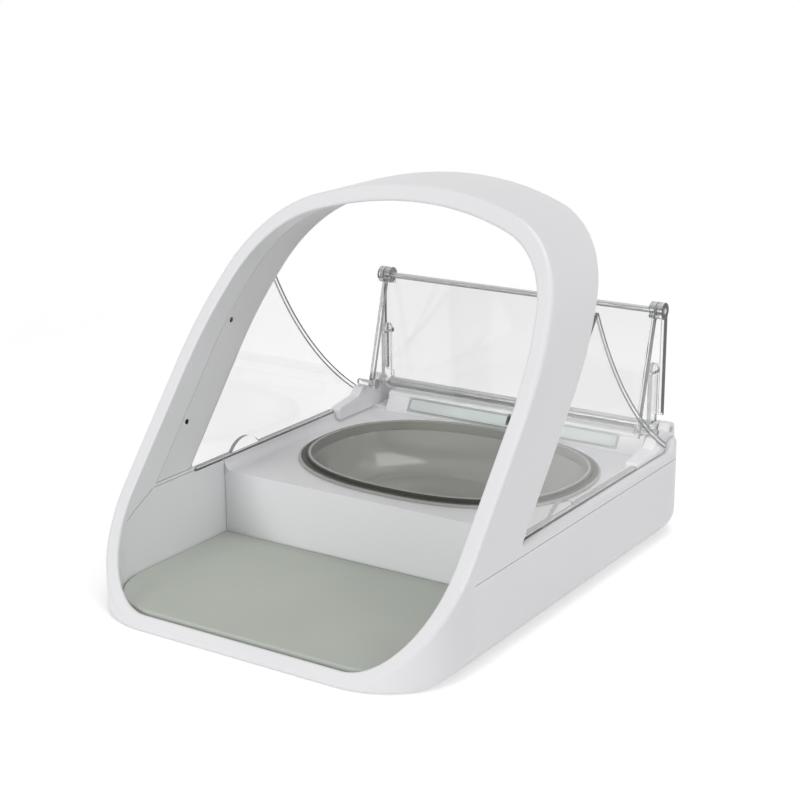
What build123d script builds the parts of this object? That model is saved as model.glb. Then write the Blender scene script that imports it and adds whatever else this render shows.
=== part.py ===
"""Microchip pet feeder: a casing with a leaning entrance arch, a folding clear lid and a lift-out bowl.

Millimetres, +Z up, +Y to the rear. The origin is on the table, under the middle of the casing's plan.
Depths are measured from the casing's front edge and turned into Y by depth().
"""
import os
from math import atan2, copysign, cos, degrees, pi, radians, sin, sqrt, tan

from build123d import *

# ---------------------------------------------------------------- casing
LENGTH = 314.0  # front edge to rear wall
WIDTH = 233.0  # across the side walls
HEIGHT = 223.0  # table to the crown of the arch
GROUND_GAP = 1.0  # casing floor above the table
FRONT_CORNER = 52.0  # plan radius of the two front corners
REAR_CORNER = 30.0  # plan radius of the two rear corners
BOTTOM_EDGE = 14.0  # rounding along the bottom of the sides and rear
WALL = 2.6  # moulded wall of the casing
SEAM = 0.4  # open line where two casing mouldings meet
DECK_TOP = 47.5  # surface round the bowl
PARTING_RISE = 1.0  # joint between the lower and the upper casing, above the deck
TONGUE = 6.5  # how far the lower casing's inner wall stands above that joint
RAIL_RISE = 6.5  # side rails above the deck
RAIL_EDGE = 3.0  # rounding along the outer top edge of the rails
DECK_BLEND = 6.0  # hollow rounding where the deck meets the rails
LEDGE_RISE = 6.0  # ledge behind the bowl, above the rails
LEDGE_DEPTH = 23.0  # flat top of that ledge, front to back
LEDGE_SLOPE = 7.0  # depth of the sloping face in front of it
LEDGE_FOOT = 1.2  # hollow rounding at the foot of that face
MERGE = 0.5  # overlap that fuses two shapes of one moulding
FIT = 0.3  # gap between pieces that are assembled by hand
RUN_GAP = 0.05  # running clearance on a radius

# ---------------------------------------------------------------- entrance arch
LEAN = 39.35  # degrees that the arch's front face leans back from upright
LIP_EDGE = 1.4  # upright edge below the leaning face
LIP_DEPTH = 6.3  # floor lip at the very front
ARCH_WALL = 9.3  # thickness of the arch, inside to outside
ARCH_DEPTH = 57.0  # front face to rear face, measured level
SPRING_HEIGHT = 120.0  # height where the upright legs start to curve in
SIDE_RADIUS = 185.0  # gentle curve of the upper legs
CROWN_RADIUS = 232.0  # flat curve of the top
SHOULDER_RADIUS = 62.0  # tight curve between the two
ARCH_FOOT = 1.2  # hollow rounding where the leg's rear runs into the rail
FRONT_ROUND = 3.4  # rounding of the front face's outer edge
THROAT_ROUND = 1.5  # rounding of the front face's inner edge
LINER_ROUND = 6.2  # rounding of the liner's rear inner edge
ARCH_SKIN = 2.2  # moulded wall of the arch
LINER_START = 22.0  # where the inner liner starts behind the front face
LINER_BACK = 11.0  # liner's closed rear part, measured level
LINER_LIFT = 2.0  # liner's foot above the lower casing's tongue

# ---------------------------------------------------------------- feeding floor and mat
FLOOR_TOP = 5.6  # floor under the mat
STEP_DEPTH = 128.5  # front edge to the wall in front of the bowl
STEP_ROUND = 6.0  # rounding along the top of that wall
MAT_THICK = 3.0
MAT_GAP = 0.5  # mat to the walls round it
MAT_FRONT_GAP = 2.0  # mat to the lip
MAT_ROUND = 0.9

# ---------------------------------------------------------------- bowl
BOWL_FRONT_GAP = 10.9  # wall in front of the bowl to the flange
BOWL_REAR_GAP = 1.0  # flange to the foot of the ledge
BOWL_SIDE_GAP = 13.0  # flange to the inner side walls
BOWL_SQUARE = 2.32  # exponent of the outline, a superellipse
BOWL_FLANGE = 5.8  # flat flange that rests on the deck
FLANGE_HEIGHT = 1.7
COLLAR_RISE = 2.4  # upright collar above the flange
COLLAR_DEPTH = 8.1  # straight part of that collar, top to foot
COLLAR_STEP = 0.8  # small step inward at the collar's foot
COLLAR_ROUND = 0.6
BODY_DEPTH = 21.75  # collar's foot to the underside of the bowl
BODY_PROFILE = ((0.0, 0.0), (0.45, 0.09), (0.85, 0.24), (1.0, 0.40))  # shares of depth and half depth
BOWL_WALL = 1.8
BOWL_CLEAR = 1.0  # bowl to its well
WELL_WALL = 1.6
SEAL_THICK = 1.0  # soft ring round the collar
SEAL_SHOW = 0.4  # bare collar above that ring
RIM_POINTS = 28

# ---------------------------------------------------------------- lid
HINGE_INSET = 18.5  # hinge axis in front of the rear wall
HINGE_RISE = 5.0  # hinge axis above the ledge
LID_FRONT_GAP = 20.0  # closed lid's end pins behind the wall in front of the bowl
FRONT_LEAF_LEAN = 15.0  # degrees between the two leaves when the lid is open
LEAF_THICK = 2.4
LEAF_OFFSET = 2.6  # leaf's inner face beyond its axes
LEAF_TIP = 5.0  # front leaf beyond its end pins
LEAF_RIB = 2.0  # stiffening rib along the sides of a leaf
LEAF_SIDE_GAP = 0.7  # rear leaf to the hinge housings
LEAF_FOOT = 1.0  # rear leaf's sheet below the hinge axis
FOLD_GAP = 0.2  # leaf to the fold axis
KNUCKLE_RADIUS = 5.3
KNUCKLE_WIDTH = 4.1
KNUCKLE_GAP = 0.5  # between the knuckles of the two leaves
ROD_RADIUS = 1.9  # fold rod and hinge shaft
SHAFT_INSET = 1.0  # shaft's end inside the housing's outer face
BARREL_RADIUS = 3.3
ARM_WIDTH = 8.8
ARM_THICK = 2.8
ARM_HUB = 4.2
ARM_GAP = 0.6  # arm to the barrel and to the gear
ARM_LENGTH = 41.0
ARM_PIN_DROP = 6.0  # arm's rivet below its top
ARM_SEAT = 0.1  # arm to the leaf
RIVET_RADIUS = 0.9
RIVET_HEAD = 0.6
END_PIN_RADIUS = 2.0
END_BOSS_WALL = 1.4  # boss round the end pin's root
END_PIN_GAP = 0.4  # end pin to the side screen's plane

# ---------------------------------------------------------------- hinge housings and drive
HOUSING_THICK = 7.0
HOUSING_AHEAD = 51.0  # housing in front of the hinge axis
HOUSING_NOSE = 3.0  # top of the housing's front above the rail
HOUSING_ROUND = 2.0
REST_HALF = 5.0  # half length of the flat that carries the open lid's pin
REST_RAMP = 5.0  # slope in front of that flat
TOWER_RADIUS = 4.6  # round top over the hinge shaft
TOWER_GAP = 2.4  # rear leaf's side cut above that top
SLOT_HALF_GAP = 2.2  # free space inside each lid arm
SLOT_LIFT = 1.0  # slot's floor above the parting line
COVER_SKIN = 2.2
COVER_REAR = 4.5  # rear ledge behind the drive cover
GEAR_MODULE = 1.0
SECTOR_TEETH = 18
PINION_TEETH = 10
GEAR_WIDTH = 2.8
GEAR_SIDE_GAP = 0.8  # gear to the housing
GEAR_ROOM = 1.0  # free space beyond the teeth
GEAR_BACKLASH = 0.16
TOOTH_REACH = 0.8  # addendum in modules
TOOTH_ROOT = 1.0  # dedendum in modules
TOOTH_SINK = 0.9  # tooth starts at this share of the root radius
FLANK_POINTS = 4
PRESSURE_ANGLE = 20.0
SECTOR_HUB = 3.6
MOTOR_RADIUS = 5.5
MOTOR_LENGTH = 22.0
MOTOR_TAIL = 2.0
GEARBOX_LENGTH = 10.0
GEARBOX_FRONT = 3.5  # gearbox in front of its shaft
GEARBOX_HALF = 4.8  # gearbox above and below its shaft
MOTOR_SHAFT = 1.5
PANEL_SIDE = 17.0  # cover's end to the service panel
PANEL_HEIGHT = 10.0
PANEL_THICK = 1.6
NOTCH_WIDTH = 4.0
NOTCH_DEPTH = 7.0

# ---------------------------------------------------------------- side screens
SCREEN_INSET = 3.9  # screen's outer face inside the casing's side
SCREEN_THICK = 2.0
SCREEN_CLIMB = 41.0  # screen's top above the height where the arch's legs start to curve in
SCREEN_HEEL = 11.5  # screen's rear end in front of the hinge axis
SCREEN_HEEL_RISE = 5.5  # height of that end above the rail
SCREEN_HEEL_STEP = 1.0  # cut below that end
SCREEN_SAG = 10.0  # hollow of the curved rear edge
FLANGE_WIDTH = 5.4
FLANGE_THICK = 2.0
REST_RADIUS = 16.8
REST_AHEAD = 2.5  # middle of the pin rest behind the closed lid's end pin
REST_THICK = 2.6

# ---------------------------------------------------------------- power, electronics, controls
CELL_RADIUS = 13.1
CELL_LENGTH = 50.0
CELL_CAP = 2.0  # positive cap's share of that length
CELL_CLEAR = 0.5
CELL_REAR = 24.5  # cells' axis in front of the rear wall
BAY_MARGIN = 1.0  # battery bay beyond the cells
DIVIDER = 2.0
DOOR_GAP = 0.35
DOOR_TOP = 12.0
GROOVE_BACK = 5.0
GROOVE_RADIUS = 1.0
CONTACT_THICK = 0.6
CONTACT_WIDTH = 12.0
CONTACT_GAP = 0.2
BUTTON_RADIUS = 6.0
BUTTON_BELOW = 7.9  # buttons' axis below the deck's underside
BUTTON_SPACING = 34.0
BUTTON_SINK = 0.3
BUTTON_GAP = 0.3
BUTTON_TRAVEL = 1.2
BUTTON_LENGTH = 6.2
BUTTON_ROUND = 0.8
BUTTON_COLLAR = 1.2  # retaining collar beyond the cap
BUTTON_COLLAR_THICK = 1.6
BUTTON_BOARD_HALF = 32.0
BUTTON_BOARD_RISE = 5.5
DOME_HEIGHT = 1.5
LIGHT_RADIUS = 2.5
LIGHT_TAIL = 1.0
SENSOR_RADIUS = 1.6
SENSOR_LENGTH = 4.5
SENSOR_SINK = 0.25
SENSOR_BEHIND = 27.0
SENSOR_HEIGHTS = (86.5, 139.0)
COIL_INSET = 2.5
COIL_THICK = 2.4
COIL_START = 9.0
COIL_WIDTH = 8.0
COIL_LIFT = 1.0
BOARD_THICK = 1.6
BOARD_LIFT = 2.5  # circuit board above the casing's floor
BOARD_X = (-62.0, 42.0)
BOARD_HALF = 34.0
CHIP_SIZE = (16.0, 16.0, 1.6)
READER_SIZE = (24.0, 24.0, 4.0)
FOOT_RADIUS = 7.0
FOOT_SINK = 1.2
FOOT_SIDE = 32.5  # foot's middle inside the casing's side
FOOT_FRONT = 34.0
REAR_FIXINGS = 59.0  # rear feet and rear screws in front of the rear wall
FOOT_CHAMFER = 0.5
SCREW_SIDE = 17.0
SCREW_BEHIND_STEP = 13.5
SCREW_RADIUS = 1.5
SCREW_HEAD = 3.0
SCREW_HEAD_THICK = 1.0
SCREW_SINK = 0.2
SCREW_LENGTH = 14.0
BOSS_RADIUS = 3.6
SWITCH_BEHIND_STEP = 21.5
SWITCH_TRAVEL = 4.0
SWITCH_LENGTH = 5.0
SWITCH_WIDTH = 4.0
SWITCH_PLATE = 1.2
SWITCH_LIFT = 0.1

# ---------------------------------------------------------------- derived places
FRONT = -LENGTH / 2
FLOOR = GROUND_GAP
LEAN_RUN = tan(radians(LEAN))
EDGE_HEIGHT = FLOOR + LIP_EDGE
FAR = 2 * (LENGTH + WIDTH + HEIGHT)
FULL_SPACE = Box(FAR, FAR, FAR)
PARTING = DECK_TOP + PARTING_RISE
RAIL_TOP = DECK_TOP + RAIL_RISE
LEDGE_TOP = RAIL_TOP + LEDGE_RISE
CAVITY_FLOOR = FLOOR + WALL
CAVITY_TOP = DECK_TOP - WALL
LINER_FOOT = PARTING + TONGUE + LINER_LIFT

BOWL_FRONT = STEP_DEPTH + BOWL_FRONT_GAP
BOWL_REAR = LENGTH - LEDGE_DEPTH - LEDGE_SLOPE - BOWL_REAR_GAP
BOWL_CENTRE = (BOWL_FRONT + BOWL_REAR) / 2
BOWL_HALF_Y = (BOWL_REAR - BOWL_FRONT) / 2
BOWL_HALF_X = WIDTH / 2 - ARCH_WALL - BOWL_SIDE_GAP
FLANGE_TOP = DECK_TOP + RUN_GAP + FLANGE_HEIGHT
COLLAR_TOP = FLANGE_TOP + COLLAR_RISE
COLLAR_FOOT = COLLAR_TOP - COLLAR_DEPTH

HINGE_DEPTH = LENGTH - HINGE_INSET
HINGE_HEIGHT = LEDGE_TOP + HINGE_RISE
LEAF_LENGTH = (HINGE_DEPTH - STEP_DEPTH - LID_FRONT_GAP) / 2
SCREEN_OUTER = WIDTH / 2 - SCREEN_INSET
SCREEN_INNER = SCREEN_OUTER - SCREEN_THICK
HOUSING_OUTER = SCREEN_INNER - SEAM
HOUSING_INNER = HOUSING_OUTER - HOUSING_THICK
HOUSING_FRONT = HINGE_DEPTH - HOUSING_AHEAD
REAR_LEAF_HALF = HOUSING_INNER - LEAF_SIDE_GAP
FRONT_LEAF_HALF = REAR_LEAF_HALF - KNUCKLE_WIDTH
END_PIN_REACH = HOUSING_OUTER - END_PIN_GAP
SECTOR_START = HOUSING_INNER - GEAR_SIDE_GAP - GEAR_WIDTH
ARM_INNER = SECTOR_START - ARM_GAP - ARM_THICK
ARM_MIDDLE = ARM_INNER + ARM_THICK / 2
ARM_PIN_HEIGHT = ARM_LENGTH - ARM_PIN_DROP
ARM_FRONT = LEAF_OFFSET - ARM_SEAT - ARM_WIDTH
BARREL_HALF = ARM_INNER - ARM_GAP
COVER_HALF = ARM_INNER - SLOT_HALF_GAP
DRIVE_HEIGHT = HINGE_HEIGHT - GEAR_MODULE * (SECTOR_TEETH + PINION_TEETH) / 2
PINION_ROOM = GEAR_MODULE * (PINION_TEETH / 2 + 1) + GEAR_ROOM
GEARBOX_END = COVER_HALF - COVER_SKIN - 2 * SEAM
SLOT_FLOOR = PARTING + SLOT_LIFT
SLOT_REAR = HINGE_DEPTH + GEAR_MODULE * (SECTOR_TEETH / 2 + TOOTH_REACH) + GEAR_ROOM
PANEL_HALF = COVER_HALF - PANEL_SIDE
SCREEN_TOP = SPRING_HEIGHT + SCREEN_CLIMB
SCREEN_END = HINGE_DEPTH - SCREEN_HEEL
SCREEN_FOOT_RUN = ARCH_FOOT / tan(radians((90 - LEAN) / 2)) + FIT

CELL_DEPTH = LENGTH - CELL_REAR
CELL_START = DIVIDER / 2 + CONTACT_THICK + 2 * CONTACT_GAP
CELL_END = CELL_START + 2 * CELL_LENGTH
CELL_HEIGHT = CAVITY_FLOOR + CELL_CLEAR + CELL_RADIUS
DOOR_FRONT = CELL_DEPTH - CELL_RADIUS - BAY_MARGIN
DOOR_LENGTH = 2 * CELL_LENGTH - DIVIDER
BAY_TOP = CELL_HEIGHT + CELL_RADIUS + BAY_MARGIN
BAY_HALF = WIDTH / 2 - 2 * WALL
BUTTON_HEIGHT = CAVITY_TOP - BUTTON_BELOW
BUTTON_BACK = LENGTH - BUTTON_SINK - BUTTON_LENGTH
BUTTON_BOARD_DEPTH = BUTTON_BACK - BUTTON_TRAVEL - RUN_GAP - DOME_HEIGHT - BOARD_THICK
BOARD_HEIGHT = CAVITY_FLOOR + BOARD_LIFT
BOARD_DEPTHS = (BOWL_CENTRE - BOARD_HALF, BOWL_CENTRE + BOARD_HALF)
FOOT_X = WIDTH / 2 - FOOT_SIDE
FOOT_DEPTHS = (FOOT_FRONT, LENGTH - REAR_FIXINGS)
SCREW_X = WIDTH / 2 - SCREW_SIDE
SCREW_DEPTHS = (STEP_DEPTH + SCREW_BEHIND_STEP, LENGTH - REAR_FIXINGS)
SWITCH_DEPTH = STEP_DEPTH + SWITCH_BEHIND_STEP


def depth(distance):
    """Y of a place that lies distance behind the casing's front edge."""
    return FRONT + distance


def slope_depth(height, behind=0.0):
    """Distance behind the front edge of the leaning plane, at a height."""
    return (height - EDGE_HEIGHT) * LEAN_RUN + behind


def leaning_slab(start, end):
    """Everything between two planes that lie parallel to the arch's front face."""
    low = -HEIGHT
    high = 2 * HEIGHT
    corners = [
        (depth(slope_depth(low, start)), low),
        (depth(slope_depth(high, start)), high),
        (depth(slope_depth(high, end)), high),
        (depth(slope_depth(low, end)), low),
    ]
    face = Plane.YZ * make_face(Polyline(*corners, close=True))
    return extrude(face, FAR / 2, both=True)


def box_between(x_range, depth_range, z_range):
    """Axis-aligned block given by its limits in X, depth and Z."""
    size = [x_range[1] - x_range[0], depth_range[1] - depth_range[0], z_range[1] - z_range[0]]
    middle = Pos(sum(x_range) / 2, depth(sum(depth_range) / 2), sum(z_range) / 2)
    return middle * Box(*size)


def arch_face(inset):
    """Front view of the arch's outline, moved in by inset, with its foot on the floor."""
    half = WIDTH / 2 - inset
    crown = HEIGHT - inset
    side_radius = SIDE_RADIUS - inset
    crown_radius = CROWN_RADIUS - inset
    side_centre = (half - side_radius, SPRING_HEIGHT)
    crown_centre = (0.0, crown - crown_radius)
    gap_x = crown_centre[0] - side_centre[0]
    gap_z = crown_centre[1] - side_centre[1]
    apart = sqrt(gap_x ** 2 + gap_z ** 2)
    along = (side_radius ** 2 - crown_radius ** 2 + apart ** 2) / (2 * apart)
    across = sqrt(side_radius ** 2 - along ** 2)
    shoulder_x = side_centre[0] + (along * gap_x - across * gap_z) / apart
    shoulder_z = side_centre[1] + (along * gap_z + across * gap_x) / apart
    start = (half, 0.0)
    spring = (half, SPRING_HEIGHT)
    right_arc = RadiusArc(spring, (shoulder_x, shoulder_z), -side_radius)
    crown_arc = RadiusArc((shoulder_x, shoulder_z), (-shoulder_x, shoulder_z), -crown_radius)
    left_arc = RadiusArc((-shoulder_x, shoulder_z), (-half, SPRING_HEIGHT), -side_radius)
    outline = [Line(start, spring), right_arc, crown_arc, left_arc]
    outline.append(Line((-half, SPRING_HEIGHT), (-half, 0.0)))
    outline.append(Line((-half, 0.0), start))
    face = make_face(Wire(outline))
    shoulders = [v for v in face.vertices() if abs(v.Y - shoulder_z) < 0.01]
    return fillet(shoulders, SHOULDER_RADIUS - inset)


def arch_prism(inset):
    """The arch's outline drawn level from front to back."""
    face = Plane.XZ * arch_face(inset)
    return extrude(Pos(0, 2 * FRONT, 0) * face, 2 * LENGTH, dir=(0, 1, 0))


def plan_face(side_inset, front_inset, rear_inset):
    """Top view of the casing, moved in at the sides, front and rear."""
    half = WIDTH / 2 - side_inset
    near = FRONT + front_inset
    far = -FRONT - rear_inset
    face = make_face(Polyline((-half, near), (half, near), (half, far), (-half, far), close=True))
    fronts = [v for v in face.vertices() if v.Y < 0]
    face = fillet(fronts, FRONT_CORNER - side_inset)
    rears = [v for v in face.vertices() if v.Y > far - 0.01]
    return fillet(rears, max(REAR_CORNER - side_inset, WALL))


def plan_prism(side_inset, front_inset, rear_inset, bottom, top):
    """The casing's top view as an upright block between two heights."""
    return extrude(Pos(0, 0, bottom) * plan_face(side_inset, front_inset, rear_inset), top - bottom)


def side_face():
    """Side view of the whole casing: lip, leaning arch, rail and rear ledge."""
    top = HEIGHT + 1.0
    ledge_start = LENGTH - LEDGE_DEPTH
    rail_end = ledge_start - LEDGE_SLOPE
    points = [
        (depth(0.0), FLOOR),
        (depth(0.0), EDGE_HEIGHT),
        (depth(slope_depth(top)), top),
        (depth(slope_depth(top, ARCH_DEPTH)), top),
        (depth(slope_depth(RAIL_TOP, ARCH_DEPTH)), RAIL_TOP),
        (depth(rail_end), RAIL_TOP),
        (depth(ledge_start), LEDGE_TOP),
        (depth(LENGTH), LEDGE_TOP),
        (depth(LENGTH), FLOOR),
    ]
    face = make_face(Polyline(*points, close=True))
    foot = [v for v in face.vertices() if abs(v.X - points[4][0]) < 0.01 and v.Y < top - 1]
    face = fillet(foot, ARCH_FOOT)
    for point in (points[5], points[6]):
        bend = [v for v in face.vertices() if (Vector(v.X, v.Y) - Vector(*point)).length < 0.01]
        face = fillet(bend, LEDGE_SLOPE)
    return face


def outer_block():
    """Casing below the rails with its bottom edges rounded, sides and rear alike."""
    seam_depth = FRONT_CORNER + STEP_DEPTH / 2
    block = plan_prism(0, 0, 0, FLOOR, HEIGHT + 1)
    rear = block - box_between((-FAR, FAR), (-FAR, seam_depth), (-FAR, FAR))
    low_edges = [e for e in rear.edges() if abs(e.center().Z - FLOOR) < 0.01]
    low_edges = [e for e in low_edges if abs(e.center().Y - depth(seam_depth)) > 0.01]
    rear = fillet(low_edges, BOTTOM_EDGE)
    front = block & box_between((-FAR, FAR), (-FAR, seam_depth), (-FAR, FAR))
    section = Pos(0, FLOOR + FAR / 2) * Rectangle(WIDTH, FAR)
    corners = [v for v in section.vertices() if abs(v.Y - FLOOR) < 0.01]
    section = fillet(corners, BOTTOM_EDGE)
    front = front & extrude(Pos(0, -FAR / 2, 0) * (Plane.XZ * section), FAR, dir=(0, 1, 0))
    return front + rear


def ledge_front(height):
    """Distance behind the front edge of the ledge's sloping inner face at a height."""
    share = (height - DECK_TOP) / (LEDGE_TOP - DECK_TOP)
    return LENGTH - LEDGE_DEPTH - LEDGE_SLOPE * (1 - share)


def inner_space():
    """Everything open to the room: the entrance, the feeding floor and the space over the deck."""
    top = HEIGHT + 2.0
    floor_part = [
        (depth(LIP_DEPTH), FLOOR_TOP),
        (depth(LIP_DEPTH), top),
        (depth(2 * LENGTH), top),
        (depth(ledge_front(LEDGE_TOP)), LEDGE_TOP),
        (depth(ledge_front(DECK_TOP)), DECK_TOP),
        (depth(STEP_DEPTH), DECK_TOP),
        (depth(STEP_DEPTH), FLOOR_TOP),
    ]
    face = make_face(Polyline(*floor_part, close=True))
    step = [v for v in face.vertices() if abs(v.X - depth(STEP_DEPTH)) < 0.01 and v.Y > FLOOR_TOP + 1]
    face = fillet(step, STEP_ROUND)
    ledge_foot = [v for v in face.vertices() if abs(v.X - depth(ledge_front(DECK_TOP))) < 0.01]
    face = fillet(ledge_foot, LEDGE_FOOT)
    space = extrude(Plane.YZ * face, FAR / 2, both=True)
    space = space & arch_prism(ARCH_WALL) & plan_prism(ARCH_WALL, LIP_DEPTH, -LENGTH, -HEIGHT, HEIGHT + 3)
    inner = WIDTH - 2 * ARCH_WALL
    section = Pos(0, DECK_TOP + FAR / 2) * Rectangle(inner, FAR)
    section = fillet([v for v in section.vertices() if v.Y < DECK_TOP + 1], DECK_BLEND)
    over_deck = extrude(Pos(0, depth(STEP_DEPTH), 0) * (Plane.XZ * section), FAR, dir=(0, 1, 0))
    before_deck = box_between((-FAR, FAR), (-FAR, STEP_DEPTH), (-FAR, FAR))
    return (space & before_deck) + (space & over_deck)


def front_loop(body, half_limit):
    """Edges of the leaning front face, either its outer or its inner loop."""
    normal = Vector(0, -cos(radians(LEAN)), sin(radians(LEAN)))
    flats = [f for f in body.faces() if f.geom_type == GeomType.PLANE]
    faces = [f for f in flats if (f.normal_at() - normal).length < 0.01]
    face = max(faces, key=lambda f: f.area)
    return face.outer_wire().edges() if half_limit == "outer" else face.inner_wires()[0].edges()


def casing_form():
    """The complete casing as one closed shape, before it is divided into mouldings."""
    side = extrude(Plane.YZ * side_face(), FAR / 2, both=True)
    form = outer_block() & side & arch_prism(0)
    form = form - inner_space()
    form = fillet(front_loop(form, "outer"), FRONT_ROUND)
    form = fillet(front_loop(form, "inner"), THROAT_ROUND)
    rail_edges = [e for e in form.edges() if abs(e.center().X - WIDTH / 2) < 0.01]
    rail_edges = [e for e in rail_edges if abs(e.center().Z - RAIL_TOP) < 0.01]
    return fillet(rail_edges, RAIL_EDGE)


# ---------------------------------------------------------------- casing mouldings
def tongue_block(gap):
    """Inner wall of the lower casing that stands up inside each arch leg."""
    inner = WIDTH / 2 - ARCH_WALL - WALL
    outer = WIDTH / 2 - ARCH_WALL / 2 + gap
    heights = (PARTING - WALL, PARTING + TONGUE + gap)
    right = box_between((inner, outer), (-FAR, STEP_DEPTH + gap), heights)
    return right + mirrored(right)


def deck_block(gap):
    """Zone inside the lower casing that belongs to the upper casing: step wall and deck."""
    half = WIDTH / 2 - ARCH_WALL - SEAM + gap
    step = box_between((-half, half), (STEP_DEPTH - gap, STEP_DEPTH + WALL + gap), (FLOOR_TOP, CAVITY_TOP))
    inset = WALL + SEAM - gap
    deck = plan_prism(inset, 0, inset, CAVITY_TOP - gap, PARTING + WALL)
    return step + (deck - box_between((-FAR, FAR), (-FAR, STEP_DEPTH - gap), (-FAR, FAR)))


def below(height):
    return box_between((-FAR, FAR), (-FAR, FAR), (-FAR, height))


def hollow_form():
    """Casing form with the room under the deck taken out."""
    room = plan_prism(WALL, WALL, WALL, CAVITY_FLOOR, CAVITY_TOP)
    room = room & box_between((-FAR, FAR), (STEP_DEPTH + WALL, LENGTH - WALL), (-FAR, FAR))
    section = Pos(0, CAVITY_FLOOR + FAR / 2) * Rectangle(WIDTH - 2 * WALL, FAR)
    low = [v for v in section.vertices() if v.Y < CAVITY_FLOOR + 1]
    section = fillet(low, BOTTOM_EDGE - WALL)
    room = room & extrude(Pos(0, -FAR / 2, 0) * (Plane.XZ * section), FAR, dir=(0, 1, 0))
    side = Pos(0, CAVITY_FLOOR + FAR / 2) * Rectangle(2 * (-FRONT - WALL), FAR)
    rear_low = [v for v in side.vertices() if v.Y < CAVITY_FLOOR + 1 and v.X > 0]
    side = fillet(rear_low, BOTTOM_EDGE - WALL)
    return casing_form() - (room & extrude(Plane.YZ * side, FAR / 2, both=True))


def arch_cavity():
    """Room for the antenna inside the arch."""
    ring = arch_prism(ARCH_SKIN) - arch_prism(ARCH_WALL - ARCH_SKIN)
    room = ring & leaning_slab(ARCH_SKIN / cos(radians(LEAN)), ARCH_DEPTH - LINER_BACK)
    return room - below(LINER_FOOT)


def liner_zone(gap):
    """Zone of the arch taken up by its inner liner."""
    inner = arch_prism(ARCH_WALL - ARCH_SKIN - gap) & leaning_slab(LINER_START - gap, ARCH_DEPTH)
    back = arch_prism(ARCH_SKIN + SEAM - gap) & leaning_slab(ARCH_DEPTH - LINER_BACK, ARCH_DEPTH + WALL)
    return (inner + back) - below(LINER_FOOT + SEAM - gap)


def place_sensors():
    """Locations of the four infrared sensors on the inner faces of the legs, axes along +X."""
    spots = []
    for side in (-1, 1):
        for height in SENSOR_HEIGHTS:
            y = depth(slope_depth(height, SENSOR_BEHIND))
            spots.append((side, Pos(side * sensor_face(height), y, height)))
    return spots


def sensor_face(height):
    """Half width of the arch's inner face at a height above its upright part."""
    rise = max(height - SPRING_HEIGHT, 0.0)
    radius = SIDE_RADIUS - ARCH_WALL
    return WIDTH / 2 - ARCH_WALL - radius + sqrt(radius ** 2 - rise ** 2)


def along_x(radius, length):
    """Cylinder along X, starting at the origin and running to +X."""
    return Rot(0, 90, 0) * Cylinder(radius, length, align=(Align.CENTER, Align.CENTER, Align.MIN))


def along_y(radius, length):
    """Cylinder along Y, starting at the origin and running to +Y."""
    return Rot(-90, 0, 0) * Cylinder(radius, length, align=(Align.CENTER, Align.CENTER, Align.MIN))


def upright(radius, length):
    """Cylinder along Z, standing on the origin."""
    return Cylinder(radius, length, align=(Align.CENTER, Align.CENTER, Align.MIN))


def mirrored(shape):
    """Copy on the other side of the casing's middle plane."""
    return mirror(shape, Plane.YZ)


def door_zone(side, gap):
    """Zone of one battery door in the casing's rear bottom edge."""
    near = DIVIDER + gap
    far = DIVIDER + DOOR_LENGTH - gap
    x_range = (near, far) if side > 0 else (-far, -near)
    return box_between(x_range, (DOOR_FRONT + gap, 2 * LENGTH), (-FAR, DOOR_TOP - gap))


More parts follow.
